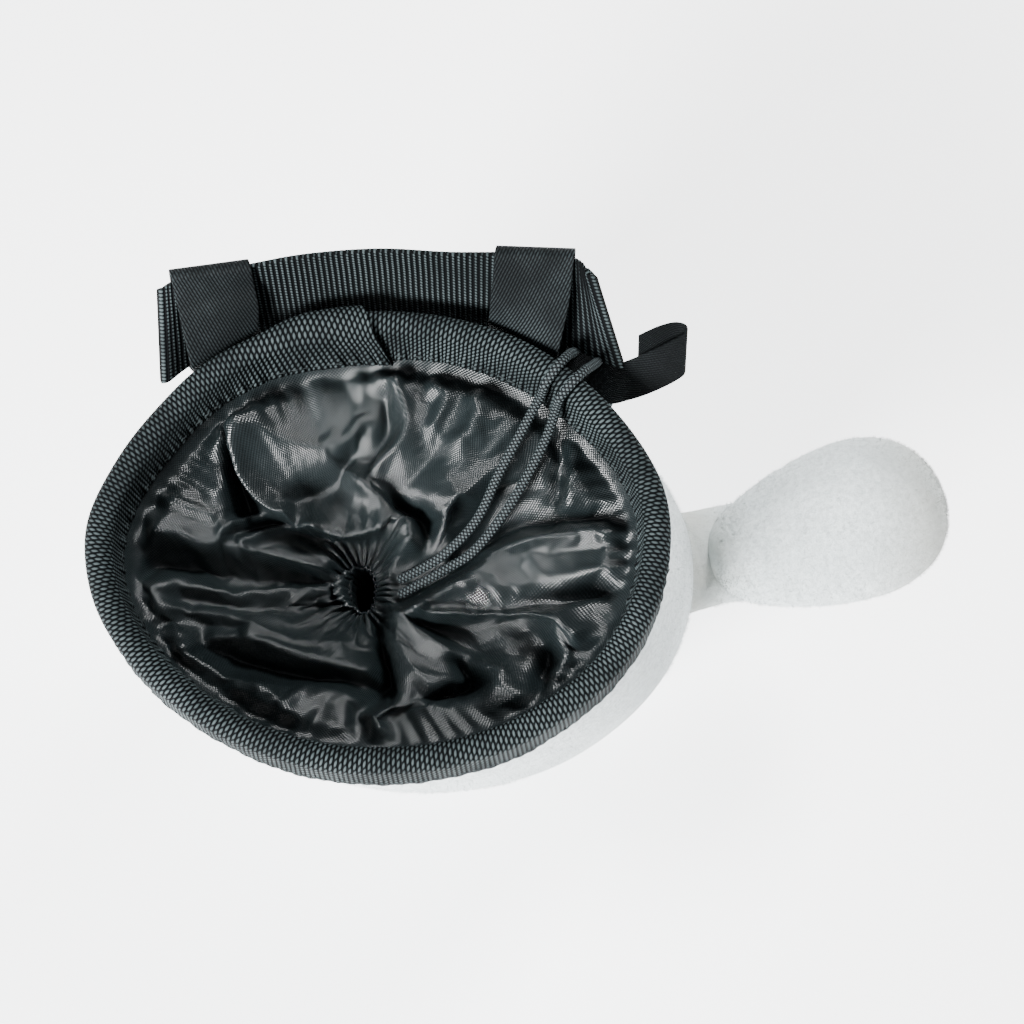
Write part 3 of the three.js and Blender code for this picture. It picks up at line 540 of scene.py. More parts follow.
def stitches(name, runs, finish, length, thick):
    """Rows of thread stitches; a run gives the points of a line on the cloth and its outward side."""
    middle, ahead, out = [], [], []
    for line, outward in runs:
        gone = run_lengths(line[:, None], 0)[:, 0]
        places = np.arange(length * 0.7, gone[-1] - length * 0.6, length * 1.45)

        def at(spots, values):
            return np.stack([np.interp(spots, gone, column) for column in values.T], axis=1)

        middle.append(at(places, line))
        ahead.append(at(places + 0.2, line) - middle[-1])
        out.append(at(places, outward))

    def make():
        bpy.ops.mesh.primitive_uv_sphere_add(segments=8, ring_count=6, radius=0.5, location=(0, 0, 0))

    sizes = np.array([length, thick * 1.25, thick])
    piece = copies(name, make, np.vstack(middle), np.vstack(ahead), np.vstack(out), sizes)
    finish_piece(piece, finish, "ribbed_webbing")


def stand_pile(name, piece, finish, count, length, seed, where):
    """Stands short fibres of pile on a plush piece, leaning with its nap; where picks its points."""
    chance = np.random.default_rng(seed)
    mesh = piece.data
    outward = np.empty(len(mesh.vertices) * 3)
    mesh.vertices.foreach_get("normal", outward)
    outward, places = outward.reshape(-1, 3), corners(mesh) / MM
    picked = chance.choice(np.flatnonzero(where(places)), count)
    lean = unit(outward[picked] + NAP + chance.normal(0, 0.3, (count, 3)))
    beside = unit(np.cross(outward[picked], chance.normal(0, 1, (count, 3))))
    tall = length * chance.uniform(0.6, 1.0, (count, 1))
    middle = places[picked] + beside * chance.uniform(0, 0.9, (count, 1)) + lean * tall * 0.4

    def make():
        bpy.ops.mesh.primitive_cone_add(vertices=3, radius1=0.5, radius2=0, depth=1, location=(0, 0, 0))

    sizes = np.array([FIBRE_THICK, FIBRE_THICK, length])
    fibres = copies(name, make, middle, np.cross(lean, beside), lean, sizes)
    finish_piece(fibres, finish, "white_plush")


class Shade:
    """A value in a finish, so that its maths reads as a formula."""

    def __init__(self, finish, socket):
        self.finish = finish
        self.socket = socket

    def maths(self, operation, *values):
        return self.finish.node("ShaderNodeMath", {"operation": operation}, dict(enumerate(values)))

    def __add__(self, other):
        return self.maths("ADD", self, other)

    def __sub__(self, other):
        return self.maths("SUBTRACT", self, other)

    def __rsub__(self, other):
        return self.maths("SUBTRACT", other, self)

    def __mul__(self, other):
        return self.maths("MULTIPLY", self, other)

    def __truediv__(self, other):
        return self.maths("DIVIDE", self, other)

    __radd__ = __add__
    __rmul__ = __mul__

    def sine(self):
        return self.maths("SINE", self)

    def size(self):
        return self.maths("ABSOLUTE", self)

    def odd(self):
        """0 on even steps and 1 on odd ones."""
        return self.maths("MODULO", self.maths("FLOOR", self), 2.0).size()

    def eased(self, low, high):
        values = {"Value": self, "From Min": low, "From Max": high}
        return self.finish.node("ShaderNodeMapRange", {"interpolation_type": "SMOOTHSTEP"}, values)


class Finish:
    """A material whose nodes are added one at a time."""

    def __init__(self, name):
        self.material = bpy.data.materials.new(name)
        self.material.use_nodes = True
        self.tree = self.material.node_tree
        self.surface = self.tree.nodes["Principled BSDF"]

    def node(self, kind, settings, values, output=0):
        made = self.tree.nodes.new(kind)
        for setting, value in settings.items():
            setattr(made, setting, value)
        for socket, value in values.items():
            self.feed(made.inputs[socket], value)
        return Shade(self, made.outputs[output])

    def feed(self, socket, value):
        """Links a value to a socket, or sets the socket to a number or colour."""
        if isinstance(value, Shade):
            self.tree.links.new(value.socket, socket)
        else:
            socket.default_value = (*value, 1.0) if isinstance(value, tuple) and len(value) == 3 else value

    def flat_cloth(self):
        """How far along and across the flat cloth a point lies, in millimetres."""
        place = self.node("ShaderNodeUVMap", {"uv_map": "Cloth"}, {})
        return self.part(place, 0) * PER_METRE, self.part(place, 1) * PER_METRE

    def part(self, place, axis):
        """One of a place's three numbers."""
        return self.node("ShaderNodeSeparateXYZ", {}, {0: place}, axis)

    def place(self):
        return self.node("ShaderNodeTexCoord", {}, {}, "Object")

    def noise(self, scale, detail=2.0, roughness=0.5):
        values = {"Vector": self.place(), "Scale": scale, "Detail": detail, "Roughness": roughness}
        return self.node("ShaderNodeTexNoise", {}, values, "Fac")

    def blend(self, share, first, second):
        """A colour between two, by a share."""
        return self.node("ShaderNodeMix", {"data_type": "RGBA"}, {0: share, 6: first, 7: second}, 2)

    def bump(self, height, distance, strength=1.0, under=None):
        values = {"Height": height, "Distance": distance * MM, "Strength": strength}
        if under is not None:
            values["Normal"] = under
        return self.node("ShaderNodeBump", {}, values)

    def set(self, **values):
        """Gives the surface its values, and returns the material."""
        for socket, value in values.items():
            self.feed(self.surface.inputs[socket.replace("_", " ")], value)
        return self.material


def dimmed(colour, share):
    return tuple(part * share for part in colour)


def webbing_finish(name, thread, gap, rib, grain, slant):
    """Webbing whose ribs run across it, each one a twisted row of light grains in a dark ground."""
    finish = Finish(name)
    along, across = finish.flat_cloth()
    step = along / rib
    crest = (step * math.pi).sine().size()
    bead = ((across / grain + step * slant) * math.pi).sine().size()
    height = crest * (bead * 0.55 + 0.45)
    lit = height.eased(0.48, 0.95)
    worn = finish.noise(55.0, 4.0, 0.6).eased(0.3, 0.72)
    fibres = finish.noise(2600.0, 2.0, 0.6)
    dull = finish.blend(fibres * 0.6, dimmed(thread, 0.35), dimmed(thread, 0.6))
    bright = finish.blend(worn, dull, thread)
    return finish.set(
        Base_Color=finish.blend(lit, gap, bright),
        Roughness=finish.blend(worn, (0.8,) * 3, (0.65,) * 3),
        Normal=finish.bump(height + fibres * 0.16, 0.35),
        Specular_IOR_Level=0.05,
    )


def twill_finish(name, thread, gap, pitch, slant, grain):
    """Fine webbing whose narrow lines run along it on a slant, broken into short floats."""
    finish = Finish(name)
    along, across = finish.flat_cloth()
    step = (across + along * slant) / pitch
    stripe = (step * math.pi).sine().size()
    float_ = ((along / grain + step.odd() * 0.5) * math.pi).sine().size()
    height = stripe * (float_ * 0.4 + 0.6)
    lit = height.eased(0.4, 0.95)
    worn = finish.noise(45.0, 4.0, 0.6).eased(0.38, 0.75)
    bright = finish.blend(worn, dimmed(thread, 0.3), thread)
    return finish.set(
        Base_Color=finish.blend(lit, gap, bright),
        Roughness=finish.blend(worn, (0.7,) * 3, (0.55,) * 3),
        Normal=finish.bump(height, 0.2),
        Specular_IOR_Level=0.08,
    )


def nylon_finish(name, thread, gap, pitch):
    """Thin satin nylon in plain weave."""
    finish = Finish(name)
    along, across = finish.flat_cloth()
    warp = ((along / pitch) * math.pi).sine()
    weft = ((across / pitch) * math.pi).sine()
    height = warp * weft * 0.5 + 0.5
    creased = finish.noise(150.0, 4.0, 0.6)
    cloudy = finish.noise(35.0, 3.0, 0.5).eased(0.3, 0.7)
    tone = finish.blend(height.eased(0.25, 0.8), gap, thread)
    creases = finish.bump(creased, 1.2, 0.3)
    return finish.set(
        Base_Color=finish.blend(cloudy * 0.4, tone, dimmed(thread, 1.5)),
        Roughness=finish.blend(cloudy, (0.27,) * 3, (0.38,) * 3),
        Normal=finish.bump(height, 0.1, 1.0, creases),
        Specular_IOR_Level=0.55,
    )


def braid_finish(name, thread, gap, diameter, pitch, strands):
    """Round cord braided from strands that cross in both directions."""
    finish = Finish(name)
    along, across = finish.flat_cloth()
    turn = across * (strands / (math.pi * diameter))
    one = ((along / pitch + turn) * math.pi).sine().size()
    other = ((along / pitch - turn) * math.pi).sine().size()
    height = one * other
    tone = finish.blend(height.eased(0.25, 0.9), gap, thread)
    return finish.set(
        Base_Color=tone, Roughness=0.6, Normal=finish.bump(height, 0.25), Specular_IOR_Level=0.15
    )


def plush_finish(name, colour, shade, painted_shade, edges=()):
    """White plush with a short, dense pile; given edges along X, it paints shade on the limb's neck and on
    the tip of its lobe, leaving the lobe's middle lit.
    """
    finish = Finish(name)
    pile = finish.noise(2400.0, 4.0, 0.7)
    tufts = finish.noise(700.0, 3.0, 0.6)
    brushed = finish.noise(50.0, 4.0, 0.55)
    height = pile * 0.55 + tufts * 0.6
    nap = finish.bump(brushed, 3.5, 0.4)
    tone = finish.blend(height.eased(0.35, 0.75), shade, colour)
    # Painted shade: the neck and the lobe's tip, which lie in shade, take on the shade colour, while the
    # lobe's middle keeps the lit tone
    if edges:
        right = finish.part(finish.place(), 0) * PER_METRE + brushed * 9.0 - 4.5
        neck, tip = right.eased(edges[0], edges[1]), right.eased(edges[2], edges[3])
        tone = finish.blend(neck * (1 - tip * 0.8), finish.blend(0.72, tone, painted_shade), tone)
    return finish.set(
        Base_Color=finish.blend(brushed.eased(0.35, 0.7) * 0.4, tone, shade),
        Roughness=0.95,
        Normal=finish.bump(height, 0.6, 0.9, nap),
        Specular_IOR_Level=0.1,
        Sheen_Weight=0.25,
        Sheen_Roughness=0.6,
    )


def thread_finish(name, colour):
    """Twisted sewing thread."""
    finish = Finish(name)
    twist = finish.noise(3000.0, 2.0, 0.5)
    return finish.set(
        Base_Color=finish.blend(twist, dimmed(colour, 0.6), colour),
        Roughness=0.75,
        Normal=finish.bump(twist, 0.08),
        Specular_IOR_Level=0.2,
    )


def tint(name, description, *colour):
    return FloatVectorProperty(name=name, description=description, subtype="COLOR", default=colour)


def length(name, description, millimetres):
    return FloatProperty(name=name, description=description, default=millimetres * MM, unit="LENGTH")


def power(name, description, watts):
    return FloatProperty(name=name, description=description, default=watts, unit="POWER")


class PlushSettings(bpy.types.PropertyGroup):
    colour: tint("Plush colour", "Colour of the pile's tips", 0.84, 0.91, 0.915)
    # Painted shade for the limb's neck and lobe tip, where they lie in shade
    painted_shade: tint("Painted shade", "Colour of the painted shade on the limb's neck and lobe tip", 0.42, 0.41, 0.35)
    shade: tint("Pile shade", "Colour deep in the pile", 0.5, 0.555, 0.56)
    pile: length("Pile length", "How far the plush's fibres stand", 1.1)
    unevenness: length("Unevenness", "How far the cup's wall swells and sags", 0.7)
    seam_depth: length("Seam depth", "How deep the sewn seams draw in", 1.0)


class WebbingSettings(bpy.types.PropertyGroup):
    thread: tint("Webbing thread", "Colour of the ribs' thread", 0.078, 0.1, 0.104)
    gap: tint("Webbing gaps", "Colour between the ribs", 0.002, 0.0026, 0.003)
    binding_rib: length("Binding rib", "Width of one rib of the binding", 1.2)
    band_rib: length("Band rib", "Width of one rib of the back band", 1.41)
    rib_height: length("Rib height", "How far a rib stands out", 0.08)
    fine_thread: tint("Strap thread", "Colour of the fine straps", 0.036, 0.047, 0.05)
    twill: length("Twill width", "Width of one twill line of the straps", 0.8)


class CollarSettings(bpy.types.PropertyGroup):
    thread: tint("Nylon colour", "Colour of the collar's nylon", 0.0095, 0.0142, 0.0155)
    gap: tint("Nylon gaps", "Colour between its threads", 0.0026, 0.0042, 0.0046)
    weave: length("Weave", "Width of one thread pair of the nylon", 0.5)
    fold_share: FloatProperty(
        name="Fold height", description="Height of the folds against the ones listed", default=1.6
    )
    slack: FloatProperty(
        name="Slack", description="How much larger than its frame the nylon is cut", default=0.07,
        subtype="FACTOR",
    )
    steps: IntProperty(name="Settling steps", description="Steps for which the nylon settles", default=16)


class CordSettings(bpy.types.PropertyGroup):
    diameter: length("Cord diameter", "Diameter of the closing cord", 2.5)
    thread: tint("Cord thread", "Colour of the braid's thread", 0.085, 0.107, 0.112)
    gap: tint("Cord gaps", "Colour between the strands", 0.004, 0.005, 0.006)
    pitch: length("Braid pitch", "Length of one crossing of the braid", 1.1)


class StudioSettings(bpy.types.PropertyGroup):
    floor: tint("Floor colour", "Colour of the plain floor", 0.93, 0.935, 0.94)
    glow: FloatProperty(
        name="Floor glow", description="How strongly the pale floor is lit from below", default=2.3
    )
    sky: FloatProperty(name="Room light", description="Strength of the even light", default=0.35)
    key: power("Key light", "Strength of the soft main light", 62.0)
    fill: power("Fill light", "Strength of the soft second light", 20.0)


def settings():
    return bpy.context.scene.chalk_bag


class ChalkBagSettings(bpy.types.PropertyGroup):
    plush: PointerProperty(type=PlushSettings)
    webbing: PointerProperty(type=WebbingSettings)
    collar: PointerProperty(type=CollarSettings)
    cord: PointerProperty(type=CordSettings)
    studio: PointerProperty(type=StudioSettings)


class CHALKBAG_OT_stage(bpy.types.Operator):
    """Set up the floor, the soft lights and the camera above the bag"""

    bl_idname = "chalkbag.stage"
    bl_label = "Stage"

    def execute(self, context):
        studio = settings().studio
        bpy.ops.object.select_all(action="DESELECT")
        bpy.ops.mesh.primitive_plane_add(size=6.0, location=(0, 0, 0))
        floor = context.object
        floor.name = "floor"
        paint = Finish("pale floor")
        mottled = paint.noise(6.0, 3.0, 0.5)
        colour = tuple(studio.floor)
        floor.data.materials.append(paint.set(
            Base_Color=paint.blend(mottled * 0.3, colour, dimmed(colour, 0.97)),
            Roughness=0.85,
            Emission_Color=colour,
            Emission_Strength=studio.glow,
        ))

        world = bpy.data.worlds.new("room")
        world.use_nodes = True
        world.node_tree.nodes["Background"].inputs[0].default_value = (0.94, 0.97, 1.0, 1.0)
        world.node_tree.nodes["Background"].inputs[1].default_value = studio.sky
        context.scene.world = world
        for name, watts, size, place in (
            ("key", studio.key, *KEY_LIGHT),
            ("fill", studio.fill, *FILL_LIGHT),
        ):
            light = bpy.data.lights.new(name, "AREA")
            light.energy, light.size = watts, size
            lamp = bpy.data.objects.new(name, light)
            lamp.location = place
            lamp.rotation_euler = (Vector(LIT_PLACE) - Vector(place)).to_track_quat("-Z", "Y").to_euler()
            context.collection.objects.link(lamp)

        view = bpy.data.cameras.new("camera")
        view.lens, view.sensor_width = CAMERA_LENS, CAMERA_FILM
        camera = bpy.data.objects.new("camera", view)
        camera.location = CAMERA_PLACE
        camera.rotation_euler = (math.radians(CAMERA_TILT), 0, 0)
        context.collection.objects.link(camera)
        context.scene.camera = camera
        return {"FINISHED"}


class CHALKBAG_OT_cords(bpy.types.Operator):
    """Lay the two braided strands over the binding and down to their knot"""

    bl_idname = "chalkbag.cords"
    bl_label = "Closing cord"

    def execute(self, context):
        cord = settings().cord
        diameter = cord.diameter / MM
        pitch = cord.pitch / MM
        finish = braid_finish("braided cord", tuple(cord.thread), tuple(cord.gap), diameter, pitch, 4)

        def braid(gone, angle):
            turn = angle * 4 / math.pi / 2
            one, other = (gone / pitch + turn) * math.pi, (gone / pitch - turn) * math.pi
            return BRAID_HEIGHT * (np.abs(np.sin(one) * np.sin(other)) - 0.7)

        middle = (np.array(LEFT_STRAND[-1], float) + np.array(RIGHT_STRAND[-1], float)) / 2
        middle[2] -= CORD_TO_KNOT
        turns = np.linspace(0, 2 * math.pi, 221)[:-1]
        radius = KNOT_SIZE * (2 + np.cos(1.5 * turns * 2)) * 0.5
        deep = -KNOT_SIZE * np.sin(1.5 * turns * 2) * 0.5
        loop = np.stack([radius * np.cos(turns * 2), deep, radius * np.sin(turns * 2)], axis=1)
        loop = np.vstack([loop, loop[:2]]) + middle
        knot = tube("cord_knot", loop, 1.45, 20, braid)
        finish_piece(knot, finish, "black_cord", "drawcord_knot")
        for side, route in (("left", LEFT_STRAND), ("right", RIGHT_STRAND)):
            line, gone = curve_through(route, 0.3)
            strand = tube("cord_strand_" + side, line, diameter / 2, 24, braid)
            finish_piece(strand, finish, "black_cord", "drawcord_" + side)
        return {"FINISHED"}


class CHALKBAG_OT_cup(bpy.types.Operator):
    """Make the plush cup, hollow and open at the top"""

    bl_idname = "chalkbag.cup"
    bl_label = "Plush cup"

    def execute(self, context):
        plush = settings().plush
        bearing = np.linspace(0, FULL_TURN, 261)[None, :]
        legs = np.linspace(CREST_RADIUS + GAP + 0.5, OUTER_LEG + GAP, 7)[:, None]
        levels = np.linspace(CUP_SECTIONS["level"][-1], 0, 96)[:, None]
        outer = np.vstack([from_mouth(bearing, -PLUSH_OUTSIDE, legs), cup_point(levels, bearing, 0)])
        inner = np.vstack([from_mouth(bearing, -PLUSH_INSIDE, legs), cup_point(levels, bearing, -PLUSH_WALL)])
        inner[len(legs):, :, 2] = PLUSH_WALL + inner[len(legs):, :, 2] * (1 - PLUSH_WALL / BAG_HEIGHT)

        share = np.clip((BAG_HEIGHT - outer[..., 2]) / BAG_HEIGHT, 0, 1)
        free = smooth((share - 0.09) / 0.1) * smooth((1 - share) / 0.12)
        swell = ripple(outer.shape[:2], (5, 4), 7) * (plush.unevenness / MM) * free
        seam = np.zeros_like(swell)
        for place in SIDE_SEAMS:
            away = np.abs(np.mod(bearing - place + 180, FULL_TURN) - 180)
            seam = seam + free * (0.35 * np.exp(-((away / 3.2) ** 2)) - np.exp(-((away / 0.9) ** 2)))
        edge = np.abs(outer[..., 2] - BASE_SEAM)
        seam += 0.3 * np.exp(-((edge / 3.0) ** 2)) - 0.9 * np.exp(-((edge / 0.9) ** 2))
        outward = -surface_normals(outer)
        outward *= np.sign((outward[..., :2] * (outer[..., :2] - [8.0, 2.0])).sum(-1).mean())
        outer += outward * (swell + seam * (plush.seam_depth / MM))[..., None]

        def closed_off(ring, height):
            middle = ring.mean(axis=0)
            middle[2] = height
            shares = np.linspace(1, 0, 22)[1:, None, None]
            return middle + (ring - middle)[None] * shares

        under = closed_off(outer[-1], 0.0)
        inside = closed_off(inner[-1], PLUSH_WALL)
        points = np.vstack([outer, under, inside[::-1], inner[::-1], outer[:1]])
        points[..., 2] = np.maximum(points[..., 2], 0.0)
        flat = np.stack([run_lengths(points, 0), run_lengths(points, 1)], axis=-1)
        cup = laid_grid("plush_cup", points, flat)
        join_edges(cup)
        finish = plush_finish("white plush", tuple(plush.colour), tuple(plush.shade), tuple(plush.painted_shade))
        finish_piece(cup, finish, "white_plush", "body_shell")
        stand_pile(
            "plush_cup_pile", cup, finish, 16000, plush.pile / MM, 22,
            lambda at: (at[:, 2] < BAG_HEIGHT - OUTER_LEG - 3) & (cup_gap(at) > -0.8) & (at[:, 2] > 2.0),
        )
        return {"FINISHED"}


def stuffed_form(rows, start, turn, length, width, height):
    """A smooth stuffed form along a direction in plan, through its listed sections."""
    line, _ = curve_through(rows, 0.016)
    gone, girth, lift, aside = (line[:, [column]] for column in range(4))
    ahead = np.array([math.cos(math.radians(turn)), math.sin(math.radians(turn)), 0])
    side = np.array([-ahead[1], ahead[0], 0])
    angle = np.linspace(0, 2 * math.pi, 65)[None, :]
    girth = np.maximum(girth, 0)
    across = width * (aside + girth / 2 * np.cos(angle))
    up = height * (lift + girth / 2 * np.sin(angle))
    along = (gone * length) * np.ones_like(across)
    up_axis = np.array([0, 0, 1.0])
    return start + along[..., None] * ahead + across[..., None] * side + up[..., None] * up_axis


def onto_wall(points, reach):
    """Fits the first rings of a form to the cup's right wall, easing off over a reach."""
    bearing = np.linspace(-60, 60, 61)
    fitted = points.copy()
    for row in range(len(points)):
        off = (row / max(1, len(points) - 1)) * reach
        ease = 1 - smooth(np.array(off / reach))
        for column in range(points.shape[1]):
            x, y, z = points[row, column]
            wall = cup_point(z / BAG_HEIGHT, bearing, -1.0)
            wall_x = np.interp(y, wall[:, 1], wall[:, 0]) + off
            fitted[row, column, 0] = x * (1 - ease) + wall_x * ease
    return fitted


class CHALKBAG_OT_limb(bpy.types.Operator):
    """Stuff the plush neck and the lobe that is sewn over it"""

    bl_idname = "chalkbag.limb"
    bl_label = "Stuffed limb"

    def execute(self, context):
        plush = settings().plush
        level, back = LIMB_ROOT
        root = cup_point(level / BAG_HEIGHT, 0.0, 0.0)
        root[1] = back
        right, aside, up = LOBE_PLACE
        place = root + [NECK_WIDTH * right, NECK_WIDTH * aside, NECK_HEIGHT * up]
        neck = stuffed_form(NECK_ROWS, root, NECK_TURN, NECK_LENGTH, NECK_WIDTH, NECK_HEIGHT)
        near = int(np.searchsorted(neck[:, 0, 0] - root[0], 14.0))
        neck[:near] = onto_wall(neck[:near], 14.0)
        lobe = stuffed_form(LOBE_ROWS, place, LOBE_TURN, LOBE_LENGTH, LOBE_WIDTH, LOBE_HEIGHT)
        finish = plush_finish(
            "white limb plush", tuple(plush.colour), tuple(plush.shade), tuple(plush.painted_shade), PAINTED_SHADE_EDGES
        )
        for name, form, fill in (("plush_neck", neck, 0.6), ("plush_lobe", lobe, 0.85)):
            flat = np.stack([run_lengths(form, 0), run_lengths(form, 1)], axis=-1)
            piece = laid_grid(name, form, flat)
            join_edges(piece)
            places = corners(piece.data) / MM
            ahead = np.array([math.cos(math.radians(LOBE_TURN)), math.sin(math.radians(LOBE_TURN)), 0])
            out = (places - form.mean(axis=(0, 1))) @ ahead
            level = places[:, 2] - form[..., 2].mean()
            seam = np.exp(-((level / 0.9) ** 2))
            held = np.where((seam > 0.5) | (out < out.min() + 6), 1.0, 0.02)
            settle(
                piece, held, 12, 0.9, quality=6, mass=0.2, bending_stiffness=1.5, tension_stiffness=12,
                compression_stiffness=12, shear_stiffness=4, use_pressure=True, uniform_pressure_force=2.5,
                shrink_min=-0.01,
            )
            places = corners(piece.data) / MM
            inward = places - form.mean(axis=(0, 1)) - np.outer(out, ahead)
            level = places[:, 2] - form[..., 2].mean()
            seam = np.exp(-((level / 0.8) ** 2)) * smooth((out - out.min() - 18) / 10)
            sunk = seam * plush.seam_depth / MM * 0.8
            set_corners(piece.data, (places - unit(inward) * sunk[:, None]) * MM)
            apply_modifier(piece, "Fine", "SUBSURF", levels=1, render_levels=1)
            finish_piece(piece, finish, "white_plush", "stuffed_limb")
            stand_pile(
                name + "_pile", piece, finish, 9000, plush.pile / MM, 21, lambda at: at[:, 0] > 90.0
            )
        return {"FINISHED"}


def binding_section(bearing, share, grown):
    """A point of the binding's cloth, its share going from the outer hem over the crest to the inner."""
    lean_out = around(BINDING_LEAN, "outer", bearing) * OUTER_LEG
    lean_in = around(BINDING_LEAN, "inner", bearing) * INNER_LEG
    radius = CREST_RADIUS - BINDING_THICK / 2 + grown
    rise, fall = OUTER_LEG - CREST_RADIUS, INNER_LEG - CREST_RADIUS
    first, bend, last = np.hypot(lean_out, rise), math.pi * radius, np.hypot(lean_in, fall)
    gone = share * (first + bend + last)
    angle = np.clip((gone - first) / radius, 0, math.pi)
    up_leg = np.clip(1 - gone / first, 0, 1)
    down_leg = np.clip((gone - first - bend) / last, 0, 1)
    out = radius * np.cos(angle) + lean_out * up_leg - lean_in * down_leg
    drop = CREST_RADIUS - radius * np.sin(angle) + rise * up_leg + fall * down_leg
    return from_mouth(bearing, out - CREST_RADIUS, drop), gone


class CHALKBAG_OT_binding(bpy.types.Operator):
    """Fold the ribbed webbing over the mouth's edge, its last stretch over its first"""

    bl_idname = "chalkbag.binding"
    bl_label = "Rim binding"

    def execute(self, context):
        webbing = settings().webbing
        rib = webbing.binding_rib / MM
        overlap = math.degrees(BINDING_OVERLAP / HALF_WIDTH)
        rows, columns = 1480, 30

        def laid(gone, share):
            late = smooth((gone - (FULL_TURN - 24)) / (24 + overlap))
            bearing = 94.0 + overlap - gone - (share - 0.35) * 9.0 * late
            raised = (BINDING_THICK + GAP) * smooth((gone - (FULL_TURN - 1.4 * overlap)) / (1.4 * overlap))
            points, across = binding_section(bearing, share, raised)
            along = run_lengths(points, 0)[:, [0]]
            outward = surface_normals(points)
            outward *= np.sign((outward[:, 0] * (points[:, 0] - [0, 0, 130])).sum())
            inner = smooth((share - 0.7) / 0.3)
            outer = smooth((0.22 - share) / 0.22)
            tuck = np.sin(along / 0.62 + 3.1 * np.sin(along / 9.7))
            tuck = tuck + 0.8 * np.sin(along / 1.7 + 2.3 * np.sin(along / 17.0))
            points = points + outward * (0.28 * tuck * inner + 0.1 * tuck * outer)[..., None]
            sway = np.sin(along / 6.3 + 1.9 * np.sin(along / 23.0))
            points[..., 2] += 0.5 * inner * tuck + 0.7 * inner * sway
            return points, along * np.ones_like(across), across, outward

        gone = np.linspace(0, FULL_TURN + overlap, rows)[:, None]
        share = np.linspace(0, 1, columns)[None, :]
        points, along, across, outward = laid(gone, share)
        hems = ripple((rows, columns), (3, 40), 3)
        relief = (webbing.rib_height / MM) * (np.abs(np.sin(math.pi * along / rib)) - 0.6) + 0.22 * hems
        points = points + outward * relief[..., None]
        binding = laid_grid("webbing_binding", points, np.stack([along, across], axis=-1))
        give_thickness(binding, BINDING_THICK - 0.4)
        finish = webbing_finish("binding webbing", tuple(webbing.thread), tuple(webbing.gap), rib, 1.7, 0.7)
        finish_piece(binding, finish, "ribbed_webbing", "rim_binding")

        runs = []
        for place in (0.09, 0.9):
            column = int(place * columns)
            away = outward[:, column]
            runs.append((points[:, column] + away * (BINDING_THICK / 2 - 0.22), away))
        sewn = thread_finish("black thread", dimmed(webbing.thread, 0.35))
        stitches("binding_stitches", runs, sewn, 2.3, 0.4)
        return {"FINISHED"}


def fold_shift(points, share):
    """How far the collar's ridges and hollows move plan points; steep ridges lean over their foot."""
    flat = points[..., :2].reshape(-1, 2)
    shift = np.zeros((len(flat), 3))
    for height, left, right, course in COLLAR_FOLDS:
        line, _ = curve_through(course, 1.0)
        ahead = unit(np.gradient(line, axis=0))
        away = flat[:, None, :] - line[None]
        nearest = np.argmin((away**2).sum(-1), axis=1)
        offset = away[np.arange(len(flat)), nearest]
        side = ahead[nearest, 0] * offset[:, 1] - ahead[nearest, 1] * offset[:, 0]
        width = np.where(side > 0, left, right)
        distance = np.hypot(offset[:, 0], offset[:, 1])
        sharp = 1.25 if height > 0 else 1.6
        rise = share * height * np.exp(-((distance / width) ** sharp))
        shift[:, 2] += rise
        if height > 0 and max(left, right) > 1.9 * min(left, right):
            lean = 0.42 * rise * (1 if left < right else -1)
            shift[:, 0] -= ahead[nearest, 1] * lean
            shift[:, 1] += ahead[nearest, 0] * lean
    return shift.reshape(points.shape)


def under_cords(points):
    """Presses the collar down where the cord's strands lie on it."""
    for route in (LEFT_STRAND, RIGHT_STRAND):
        line, _ = curve_through(route[:11], 1.0)
        away = np.hypot(points[..., None, 0] - line[:, 0], points[..., None, 1] - line[:, 1])
        nearest = away.argmin(-1)
        points[..., 2] = np.minimum(points[..., 2], line[nearest, 2] - 2.0 + 0.3 * away.min(-1) ** 2)
    return points


def collar_surface(rows, bearing, fold_share):
    """The collar between the binding and the cinch, with a column for each bearing."""
    bearing = bearing[None, :]
    lean = around(BINDING_LEAN, "inner", bearing) * INNER_LEG
    hidden = np.linspace(0, 1, 4)[:-1, None]
    start = from_mouth(bearing, -COLLAR_MIDDLE - lean * 0.9 * hidden, 6.0 + (INNER_LEG - 6.0) * hidden)
    reach = np.linspace(0, 1, rows - 3)[:, None]
    edge = from_mouth(bearing, -(CREST_WIDTH + lean + 0.7), 0)
    angle = np.radians(bearing)
    clear = CINCH_RADIUS + 0.6
    goal = np.stack([CINCH[0] + PIT_HALF[0] * np.cos(angle), CINCH[1] + PIT_HALF[1] * np.sin(angle)], axis=-1)
    plan = edge[..., :2] + (goal - edge[..., :2]) * reach[..., None]
    depth = (INNER_LEG + COLLAR_FALL) + (COLLAR_DROP - INNER_LEG - COLLAR_FALL) * reach**0.85
    level = BAG_HEIGHT - depth
    middle = np.concatenate([plan, level[..., None] * np.ones_like(plan[..., :1])], axis=-1)
    free = smooth(reach / 0.12) * (1 - 0.9 * smooth((reach - 0.82) / 0.18))
    middle += fold_shift(middle, fold_share) * free[..., None]
    spread = np.maximum(np.hypot(plan[..., 0] - CINCH[0], plan[..., 1] - CINCH[1]) - clear, 0)
    gathers = np.sin(26 * angle + 1.9 * np.sin(3 * angle) + 1.1 * np.sin(7 * angle + 1))
    gathers = np.sign(gathers) * np.abs(gathers) ** 0.7 * (0.75 + 0.45 * np.sin(5 * angle + 2))
    middle[..., 2] += 1.5 * gathers * np.exp(-spread / 8.0) * smooth((1 - reach) / 0.05 + 0.35)
    rim = np.sin(62 * angle + 2.6 * np.sin(5 * angle) + 1.4 * np.sin(11 * angle + 2))
    rim *= 0.7 + 0.5 * np.sin(9 * angle + 1)
    middle[..., 2] += 1.25 * rim * np.exp(-reach * 60 / 7.0) * smooth(reach / 0.025)
    return np.vstack([start, middle])


